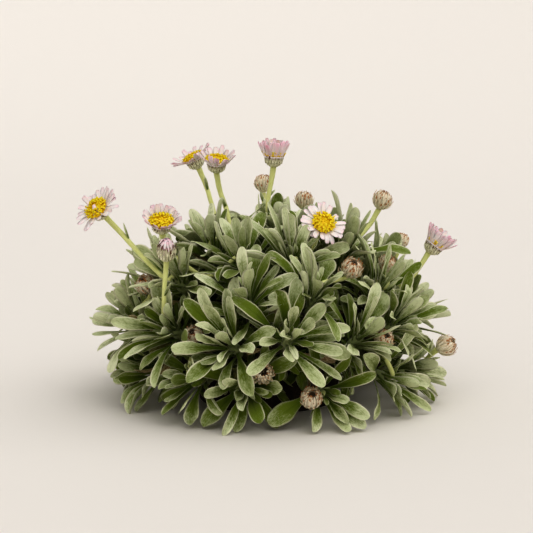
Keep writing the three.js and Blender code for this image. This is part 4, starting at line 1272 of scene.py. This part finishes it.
# Dried heads: a globe of long narrow bracts that close over its top, each with a dark stripe and tip. Rows
# of them: the height of their roots on the globe in degrees, their number, and their length in radii
DRIED_ROWS = [(-62, 11, 0.95), (-40, 15, 1.0), (-18, 17, 1.0), (4, 17, 0.9), (26, 14, 0.75)]
DRIED_WIDTH, DRIED_THICK = 1.35, 0.22
DRIED_BOW = 0.6
REMNANT_RADIUS = 0.13


def add_dried(form, head, seed, opened, remnants):
    vary = np.random.default_rng(seed)
    r = head.radius
    at, facing = head.at, head.facing
    mouth = (0.3 + 0.45 * opened) * r
    body = [(-4.7, 1.1), (-0.8 * r, 0.46 * r), (-0.45 * r, 0.74 * r), (0, 0.84 * r), (0.4 * r, 0.74 * r)]
    body += [(0.68 * r, max(mouth, 0.45 * r)), ((0.76 - 0.45 * opened) * r, max(mouth - 0.8, 0.12 * r))]
    dark = 0.15 + 0.85 * np.linspace(0, 1, len(body)) ** 5
    form.skin(circles(at, facing, body, 18), 0, along=0.3, edge=1, tone=0.7, dry=dark[:, None])
    for row, (height, count, length) in enumerate(DRIED_ROWS):
        for out, side in ring_places(head, count, vary, 0.2, row / 2):
            tilt = radians(height + vary.uniform(-5, 5))
            outward = turned(out, facing, tilt)
            rising = turned(facing, -out, tilt)
            root = at + r * 0.86 * outward
            way = unit(rising + outward * vary.uniform(0.1, 0.24))
            bow = -outward * r * length**2 * (DRIED_BOW - 0.3 * opened) * vary.uniform(0.85, 1.1)
            add_scale(
                form, root, way, -side, bow, r * length * vary.uniform(0.88, 1.1),
                DRIED_WIDTH * vary.uniform(0.85, 1.15), DRIED_THICK, int(vary.integers(1, 900)),
                vary.random(), blunt=0.75,
            )
    for _ in range(remnants):
        out = turned(*square_to(facing), vary.uniform(0, TAU))
        lean = vary.uniform(0, 0.5)
        root = at + facing * 0.45 * r + out * vary.uniform(0, max(mouth - 0.6, 0.3 * r))
        tip = root + unit(facing + out * lean) * r * vary.uniform(0.35, 0.6)
        form.spikes(root[None], tip[None], REMNANT_RADIUS, along=0.4, tone=1.0, dry=0.2)


# Pot of pressed fibre: the wall carries a shallow felted relief
POT_AROUND = 120
POT_FELT = 0.13


def pot_form():
    form = Form()
    rough = np.random.default_rng(4)
    heights = np.linspace(0.6, POT_HEIGHT - 0.8, 16)
    rim = pot_radius(POT_HEIGHT)
    profile = [(0, 12), (0, pot_radius(0) - 0.7), *((z, pot_radius(z)) for z in heights)]
    profile += [(POT_HEIGHT, rim - 0.8), (POT_HEIGHT, rim - POT_WALL + 0.6)]
    profile += [(z, pot_radius(z) - POT_WALL) for z in (POT_HEIGHT - 0.8, SOIL_TOP + 1, POT_FLOOR)]
    profile += [(POT_FLOOR, 12)]
    rings = []
    for z, radius in profile:
        felt = rough.normal(0, POT_FELT, POT_AROUND) if 0.3 < z and radius > 20 else np.zeros(POT_AROUND)
        radii = radius + (felt + np.roll(felt, 1) + np.roll(felt, -1)) / 2 - 0.15
        rings.append(circle(z * UP, UP, radii, POT_AROUND))
    form.skin(rings, 0, tone=0.5)
    return form


# The drain holes go right through the pot's floor
DRAIN_SIDES = 32


def make_pot(material):
    pot = pot_form().build("fine_pot", [material])
    drills = Form()
    drill_ends = [(-POT_FLOOR, DRAIN_RADIUS), (2 * POT_FLOOR, DRAIN_RADIUS)]
    for k in range(DRAIN_HOLES):
        place = around(45 + 360 * k / DRAIN_HOLES, DRAIN_CIRCLE, 0)
        drills.skin(circles(place, UP, drill_ends, DRAIN_SIDES))
    drill = drills.build("drills", [])
    cut = pot.modifiers.new("drain_holes", "BOOLEAN")
    cut.object, cut.solver = drill, "EXACT"
    drilled = pot.evaluated_get(bpy.context.evaluated_depsgraph_get())
    whole, pot.data = pot.data, bpy.data.meshes.new_from_object(drilled)
    pot.modifiers.clear()
    bpy.data.objects.remove(drill)
    bpy.data.meshes.remove(whole)
    return pot


# Soil: a domed top of crumbs and fibres inside the pot
SOIL_AROUND = 72
SOIL_RADIUS = pot_radius(SOIL_TOP) - POT_WALL - 0.4
SOIL_ROUGH = 0.45
CRUMBS = 520
CRUMB_PROFILE = [(-0.8, 0.5), (-0.1, 1), (0.7, 0.6)]


def soil_height(radius):
    return SOIL_TOP + SOIL_DOME * (1 - (radius / SOIL_RADIUS) ** 2)


def soil_form():
    form = Form()
    rough = np.random.default_rng(8)
    profile = [(POT_FLOOR + 0.4, 10), (POT_FLOOR + 0.4, SOIL_RADIUS - 2.6)]
    profile += [(soil_height(radius), radius) for radius in np.linspace(SOIL_RADIUS, 2, 22)]
    rings = circles(0 * UP, UP, profile, SOIL_AROUND)
    for number, ring in enumerate(rings):
        ring[:, 2] += rough.normal(0, SOIL_ROUGH, SOIL_AROUND) * (number > 2)
    form.skin(rings, 0, tone=0.4)
    for _ in range(CRUMBS):
        angle, out = rough.uniform(0, TAU), (SOIL_RADIUS - 1.2) * math.sqrt(rough.random())
        size = rough.uniform(0.35, 1.1)
        at = vector((out * math.cos(angle), out * math.sin(angle), soil_height(out)))
        axis = unit(rough.normal(0, 1, 3))
        profile = [(along * size, size * rough.uniform(0.6, 1, 6) * wide) for along, wide in CRUMB_PROFILE]
        form.skin(circles(at, axis, profile, 6), 0, tone=rough.random())
    return form


# Materials. A shader's nodes are made through these few calls.
class Shader:
    def __init__(self, name, roughness):
        self.material = bpy.data.materials.new(name)
        self.material.use_nodes = True
        self.tree = self.material.node_tree
        self.surface = self.tree.nodes["Principled BSDF"]
        self.set("Roughness", roughness)

    def set(self, socket, value):
        self.plug(self.surface.inputs[socket], value)

    def plug(self, socket, value):
        if isinstance(value, bpy.types.NodeSocket):
            self.tree.links.new(value, socket)
        elif isinstance(value, tuple):
            socket.default_value = (*value, 1)[:len(socket.default_value)]
        else:
            socket.default_value = value

    def node(self, kind, **settings):
        made = self.tree.nodes.new("ShaderNode" + kind)
        for key, value in settings.items():
            setattr(made, key, value)
        return made

    def attribute(self, name, output="Fac"):
        return self.node("Attribute", attribute_name=name).outputs[output]

    def math(self, operation, *values):
        made = self.node("Math", operation=operation)
        for socket, value in zip(made.inputs, values):
            self.plug(socket, value)
        return made.outputs[0]

    def times(self, first, second):
        return self.math("MULTIPLY", first, second)

    # A value raised by so many times what another has above its middle
    def raised(self, value, by, middle, weight):
        return self.math("MULTIPLY_ADD", self.math("SUBTRACT", by, middle), weight, value)

    def scaled(self, vector_socket, scale):
        made = self.node("VectorMath", operation="MULTIPLY")
        self.plug(made.inputs[0], vector_socket)
        made.inputs[1].default_value = scale
        return made.outputs[0]

    def length(self, vector_socket):
        made = self.node("VectorMath", operation="LENGTH")
        self.plug(made.inputs[0], vector_socket)
        return made.outputs["Value"]

    def noise(self, place, scale, detail, distortion=0.0):
        made = self.node("TexNoise")
        self.plug(made.inputs["Vector"], place)
        made.inputs["Scale"].default_value = scale
        made.inputs["Detail"].default_value = detail
        made.inputs["Distortion"].default_value = distortion
        return made.outputs["Fac"]

    # Noise drawn out along the grain of a leaf, stem or scale
    def streaks(self, stretch, scale, detail, distortion=0.0):
        return self.noise(self.scaled(self.attribute("fibre", "Vector"), stretch), scale, detail, distortion)

    def step(self, value, low, high, start=0.0, end=1.0):
        made = self.node("MapRange", interpolation_type="SMOOTHSTEP")
        for socket, number in zip(made.inputs, (value, low, high, start, end)):
            self.plug(socket, number)
        return made.outputs[0]

    def mix(self, share, first, second):
        made = self.node("Mix", data_type="RGBA")
        self.plug(made.inputs["Factor"], share)
        self.plug(made.inputs["A"], first)
        self.plug(made.inputs["B"], second)
        return made.outputs["Result"]

    def object_place(self):
        return self.node("TexCoord").outputs["Object"]

    def bump(self, height, distance, strength):
        made = self.node("Bump")
        made.inputs["Distance"].default_value = distance
        made.inputs["Strength"].default_value = strength
        self.plug(made.inputs["Height"], height)
        self.set("Normal", made.outputs[0])


# Felted leaves: green towards their stalks, silvered by their hairs at the tips. Some have lost most of
# their felt. Deeper inside the dome, whose half width and height in metres are below, the felt and the pale
# margins are painted away: painted shade, green with the light bounced among the leaves.
DOME = 0.087, 0.1


def leaf_material():
    m = Shader("felted_leaf", 0.72)
    along, edge, tone, dry, under = (m.attribute(name) for name in Form.NUMBERS)
    hairs = m.streaks((0.55, 1.9, 1), 1.3, 4, 0.4)
    patches = m.streaks((1, 1, 1), 0.2, 2)
    shell = m.length(m.scaled(m.object_place(), (1 / DOME[0], 1 / DOME[0], 1 / DOME[1])))
    # painted shade mask: 0 at the dome's surface, 1 from two thirds of its size inwards
    inside = m.step(shell, 1.0, 0.66)
    deep = m.mix(tone, (0.064, 0.110, 0.002), (0.108, 0.162, 0.004))
    fresh = m.mix(tone, (0.130, 0.180, 0.012), (0.152, 0.205, 0.020))
    green = m.mix(m.step(along, 0.12, 0.7), deep, fresh)
    silver = m.mix(tone, (0.470, 0.525, 0.275), (0.750, 0.780, 0.545))
    felt = m.raised(0.38, hairs, 0.5, 1.4)
    felt = m.raised(felt, patches, 0.5, 0.9)
    felt = m.raised(felt, along, 0.6, 1.1)
    felt = m.math("MULTIPLY_ADD", m.times(edge, edge), 0.3, felt)
    felt = m.math("MULTIPLY_ADD", under, 0.15, felt)
    # painted shade: the felt fades inside the dome, leaving darker green
    felt = m.math("MULTIPLY_ADD", inside, -0.8, felt)
    felt = m.math("ADD", felt, m.step(tone, 0.08, 0.32, -0.5, 0.15))
    felt = m.step(felt, 0.0, 1.1, 0.0, 0.95)
    color = m.mix(felt, green, silver)
    rib = m.times(m.step(edge, 0.15, 0.02), m.step(along, 0.95, 0.5, 0, 0.5))
    color = m.mix(rib, color, m.mix(under, deep, (0.34, 0.38, 0.20)))
    margin = m.times(m.step(edge, 0.76, 0.96), m.step(along, 0.0, 0.5, 0.1, 0.85))
    # painted shade: the pale margins dim inside the dome
    margin = m.times(margin, m.step(inside, 0.0, 1.0, 1.0, 0.4))
    color = m.mix(margin, color, (0.88, 0.86, 0.66))
    straw = m.mix(m.step(hairs, 0.3, 0.7), (0.20, 0.105, 0.045), (0.62, 0.50, 0.32))
    color = m.mix(dry, color, straw)
    m.set("Base Color", color)
    m.set("Sheen Weight", 0.28)
    m.set("Sheen Roughness", 0.5)
    m.set("Sheen Tint", (1, 0.97, 0.70))
    m.set("Specular IOR Level", 0.2)
    m.bump(hairs, 0.0003, 0.8)
    return m.material


def stem_material():
    m = Shader("stem", 0.7)
    tone, dry = m.attribute("tone"), m.attribute("dry")
    streak = m.streaks((0.35, 1.6, 1.6), 1.2, 3)
    stalk = m.mix(streak, (0.62, 0.66, 0.17), (0.92, 0.92, 0.48))
    core = m.mix(streak, (0.12, 0.17, 0.05), (0.30, 0.34, 0.16))
    bark = m.mix(streak, (0.030, 0.018, 0.010), (0.12, 0.08, 0.045))
    m.set("Base Color", m.mix(m.step(dry, 0.15, 0.5), m.mix(tone, core, stalk), bark))
    m.set("Sheen Weight", 0.3)
    m.bump(streak, 0.0003, 0.6)
    return m.material


# Bracts and papery scales: cream or green, with a brown tip and a darker stripe along the middle
def scale_material(name, pale, green, brown, tip_from, striped):
    m = Shader(name, 0.6)
    along, edge, tone, dry = (m.attribute(key) for key in ("along", "edge", "tone", "dry"))
    streak = m.streaks((0.5, 3.2, 1), 1.5, 3)
    base = m.mix(m.times(tone, 0.6), pale, green)
    stripe = m.times(m.step(edge, 0.6, 0.15), m.step(along, 0.2, 0.6))
    base = m.mix(m.times(stripe, striped), base, brown)
    base = m.mix(m.times(m.step(streak, 0.58, 0.72), 0.2), base, brown)
    tip = m.raised(along, streak, 0.5, 0.4)
    tip = m.raised(tip, tone, 0.5, 0.3)
    base = m.mix(m.step(tip, tip_from, tip_from + 0.1), base, brown)
    m.set("Base Color", m.mix(dry, base, (0.05, 0.028, 0.012)))
    m.set("Specular IOR Level", 0.35)
    m.bump(streak, 0.0002, 0.6)
    return m.material


def ray_material():
    m = Shader("ray_florets", 0.5)
    along, tone, under = m.attribute("along"), m.attribute("tone"), m.attribute("under")
    veins = m.streaks((0.12, 2.6, 1), 1.6, 3)
    base = m.mix(tone, (0.80, 0.68, 0.69), (0.90, 0.84, 0.83))
    pink = m.mix(tone, (0.84, 0.40, 0.54), (0.91, 0.71, 0.76))
    share = m.math("MULTIPLY_ADD", under, 0.35, m.times(m.step(along, 0.45, 1.05), 0.5))
    share = m.raised(share, veins, 0.5, 0.7)
    m.set("Base Color", m.mix(m.step(share, 0.0, 1.0), base, pink))
    m.set("Subsurface Weight", 0.25)
    m.surface.inputs["Subsurface Radius"].default_value = (0.003, 0.002, 0.002)
    m.set("Sheen Weight", 0.15)
    m.bump(veins, 0.0001, 0.3)
    return m.material


def floret_material():
    m = Shader("disc_florets", 0.55)
    along, tone, dry = m.attribute("along"), m.attribute("tone"), m.attribute("dry")
    gold = m.mix(tone, (0.95, 0.70, 0.006), (1.0, 0.86, 0.03))
    # painted shade: each floret is darker and more orange towards its foot, down among the others
    deep = m.mix(m.step(along, 0.05, 0.7), (0.84, 0.56, 0.003), gold)
    m.set("Base Color", m.mix(m.times(dry, 0.7), deep, (0.72, 0.57, 0.02)))
    m.bump(m.noise(m.object_place(), 3000, 2), 0.0001, 0.6)
    return m.material


def fibre_material(name, dark, light, scale):
    m = Shader(name, 0.9)
    place = m.object_place()
    strands = m.noise(m.scaled(place, (1, 1, 2.6)), scale, 4, 1.2)
    patches = m.noise(place, scale / 9, 3)
    color = m.mix(m.step(strands, 0.3, 0.7), dark, light)
    m.set("Base Color", m.mix(m.step(patches, 0.35, 0.7, 0, 0.5), color, dark))
    m.bump(strands, 0.0008, 0.8)
    return m.material


def plain_material(name, color, roughness):
    m = Shader(name, roughness)
    speckle = m.noise(m.object_place(), 60, 3)
    m.set("Base Color", m.mix(m.times(speckle, 0.06), color, (0.9, 0.86, 0.8)))
    return m.material


# Stage: a wide pale bowl, flat under the plant, so that no edge shows from any side
FLOOR_RADII = [0.02, 0.3, 0.7, 1.1]
WALL_RADIUS = 4
WALL_SWEEP, WALL_STEPS = 60, 24
STAGE_SIDES = 96
STAGE_COLOR = (0.80, 0.762, 0.72)


def make_stage():
    profile = [(0, radius) for radius in FLOOR_RADII]
    for k in range(1, WALL_STEPS + 1):
        w = radians(WALL_SWEEP * k / WALL_STEPS)
        profile.append((WALL_RADIUS * (1 - math.cos(w)), FLOOR_RADII[-1] + WALL_RADIUS * math.sin(w)))
    points = np.concatenate(circles(0 * UP, UP, profile, STAGE_SIDES))
    quads = quads_between(len(profile), STAGE_SIDES)[..., ::-1].reshape(-1, 4)
    mesh = bpy.data.meshes.new("stage")
    mesh.from_pydata(points.tolist(), [], [*quads.tolist(), list(range(STAGE_SIDES))])
    mesh.materials.append(plain_material("stage", STAGE_COLOR, 0.85))
    mesh.polygons.foreach_set("use_smooth", [True] * len(mesh.polygons))
    floor = bpy.data.objects.new("stage", mesh)
    bpy.context.scene.collection.objects.link(floor)


# Light: a pale room, with one wide soft source on the right and one at the front
SOFTBOXES = {"right": ((0.5, 0, 0.866), 0.76), "front": ((0, -0.64, 0.77), 0.8)}
SOFTBOX_ANGLE = radians(70)
SOFTBOX_COLOR = (1, 0.985, 0.96)
ROOM_LIGHT = 0.315


def make_light():
    scene = bpy.context.scene
    world = bpy.data.worlds.new("soft_room")
    world.use_nodes = True
    sky = world.node_tree.nodes["Background"]
    sky.inputs[0].default_value = (1, 1, 1, 1)
    sky.inputs[1].default_value = ROOM_LIGHT
    scene.world = world
    for name, (towards, strength) in SOFTBOXES.items():
        softbox = bpy.data.lights.new(name, "SUN")
        softbox.energy, softbox.angle, softbox.color = strength, SOFTBOX_ANGLE, SOFTBOX_COLOR
        lamp = bpy.data.objects.new(name, softbox)
        lamp.rotation_euler = Vector(towards).to_track_quat("Z", "Y").to_euler()
        scene.collection.objects.link(lamp)
    scene.view_settings.view_transform = "Standard"
    scene.view_settings.look = "High Contrast"


# Camera: the base of the plant shows at BASE_PIXEL of a picture PICTURE pixels wide
PICTURE = 533
FOCAL_LENGTH = 100
SENSOR = 36
CAMERA_DISTANCE = 0.755
ELEVATION = radians(13.6)
BASE_PIXEL = 268, 397


def make_camera():
    camera = bpy.data.cameras.new("camera")
    camera.lens, camera.sensor_width, camera.clip_end = FOCAL_LENGTH, SENSOR, 30
    focal_pixels = FOCAL_LENGTH / SENSOR * PICTURE
    right, below = BASE_PIXEL[0] - PICTURE / 2, BASE_PIXEL[1] - PICTURE / 2
    pitch = ELEVATION - math.atan(below / focal_pixels)
    eye = bpy.data.objects.new("camera", camera)
    eye.location = (
        -right / focal_pixels * CAMERA_DISTANCE,
        -CAMERA_DISTANCE * math.cos(ELEVATION),
        CAMERA_DISTANCE * math.sin(ELEVATION),
    )
    eye.rotation_euler = (math.pi / 2 - pitch, 0, 0)
    bpy.context.scene.collection.objects.link(eye)
    bpy.context.scene.camera = eye


# Dried heads: how far each is open, and how many floret remains stand in it
DRIED_LOOKS = [
    (0.1, 0), (0.3, 6), (0.35, 30), (0.2, 4), (0.2, 0), (0.1, 0), (0.2, 0),
    (0.4, 8), (0.8, 24), (0.2, 0), (0.3, 4), (0.4, 8), (0.3, 6), (0.2, 0),
]


def settle(piece, slot, *nodes):
    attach(piece, "root")
    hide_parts(*nodes)


def make_shoots(shoots, spines, leaves, materials):
    by_rosette = {spine.rosette: [] for spine in spines}
    for leaf in leaves:
        by_rosette[leaf.rosette].append(leaf)
    spine_of = {spine.rosette: spine for spine in spines}
    for shoot in shoots:
        form = Form()
        for j, _, _ in shoot.stems:
            spine = spine_of[j]
            add_spine(form, spine, 50 * j)
            for k, leaf in enumerate(by_rosette[j]):
                fine_leaf(form, leaf, 1000 * j + k)
            if spine.head and spine.head.kind in CUPS:
                add_cup(form, spine.head, 9000 + j)
        settle(form.build(f"fine_{shoot.name}", materials), "leaf", shoot.name)


def make_heads(heads, rays, florets, dried):
    numbers = {}
    for head in heads:
        number = numbers[head.kind] = numbers.get(head.kind, 0) + 1
        seed = 100 * number + 10 * len(head.kind)
        name = f"{head.kind}_{number}"
        form = Form()
        if head.kind == "dried":
            add_dried(form, head, seed, *DRIED_LOOKS[number - 1])
            settle(form.build(f"fine_dried_head_{number}", [dried]), "dried", f"dried_head_{number}")
        elif head.kind == "closing":
            add_tuft(form, head, seed)
            settle(form.build(f"fine_{name}_tuft", [rays]), "ray", f"{name}_tuft")
        else:
            add_rays(form, head, RAY_LOOKS[name], seed)
            settle(form.build(f"fine_{name}_rays", [rays]), "ray", f"{name}_rays")
            disc = Form()
            add_florets(disc, head, seed + 1)
            settle(disc.build(f"fine_{name}_florets", [florets]), "floret", f"{name}_florets")


rosettes = place_rosettes()
shoots = place_shoots(rosettes)
heads = place_heads(rosettes)
spines = [place_spine(stem, rosettes, heads) for shoot in shoots for stem in shoot.stems]
leaves, bodies = grow_leaves(rosettes, spines, heads)
clear_heads(heads, bodies)
for spine in spines:
    leaves += heart_leaves(rosettes[spine.rosette], spine, 7000, bodies)
leaves += fill_leaves(rosettes, spines, bodies)
leaves += thatch_leaves(spines)

leaf_finish, stem_finish = leaf_material(), stem_material()
bract_finish = scale_material(
    "bract", pale=(0.92, 0.88, 0.68), green=(0.64, 0.63, 0.36), brown=(0.13, 0.05, 0.02), tip_from=0.70,
    striped=0.9,
)
dried_finish = scale_material(
    "dried_scale", pale=(0.98, 0.93, 0.76), green=(0.90, 0.77, 0.54), brown=(0.46, 0.20, 0.07),
    tip_from=0.81, striped=0.3,
)
make_shoots(shoots, spines, leaves, [leaf_finish, stem_finish, bract_finish])
make_heads(heads, ray_material(), floret_material(), dried_finish)
pot_finish = fibre_material("pressed_fibre", (0.020, 0.012, 0.008), (0.075, 0.048, 0.03), 900)
settle(make_pot(pot_finish), "pot", "pot")
soil_finish = fibre_material("potting_soil", (0.012, 0.008, 0.005), (0.06, 0.038, 0.022), 700)
settle(soil_form().build("fine_soil", [soil_finish]), "soil", "soil")
make_stage()
make_light()
make_camera()
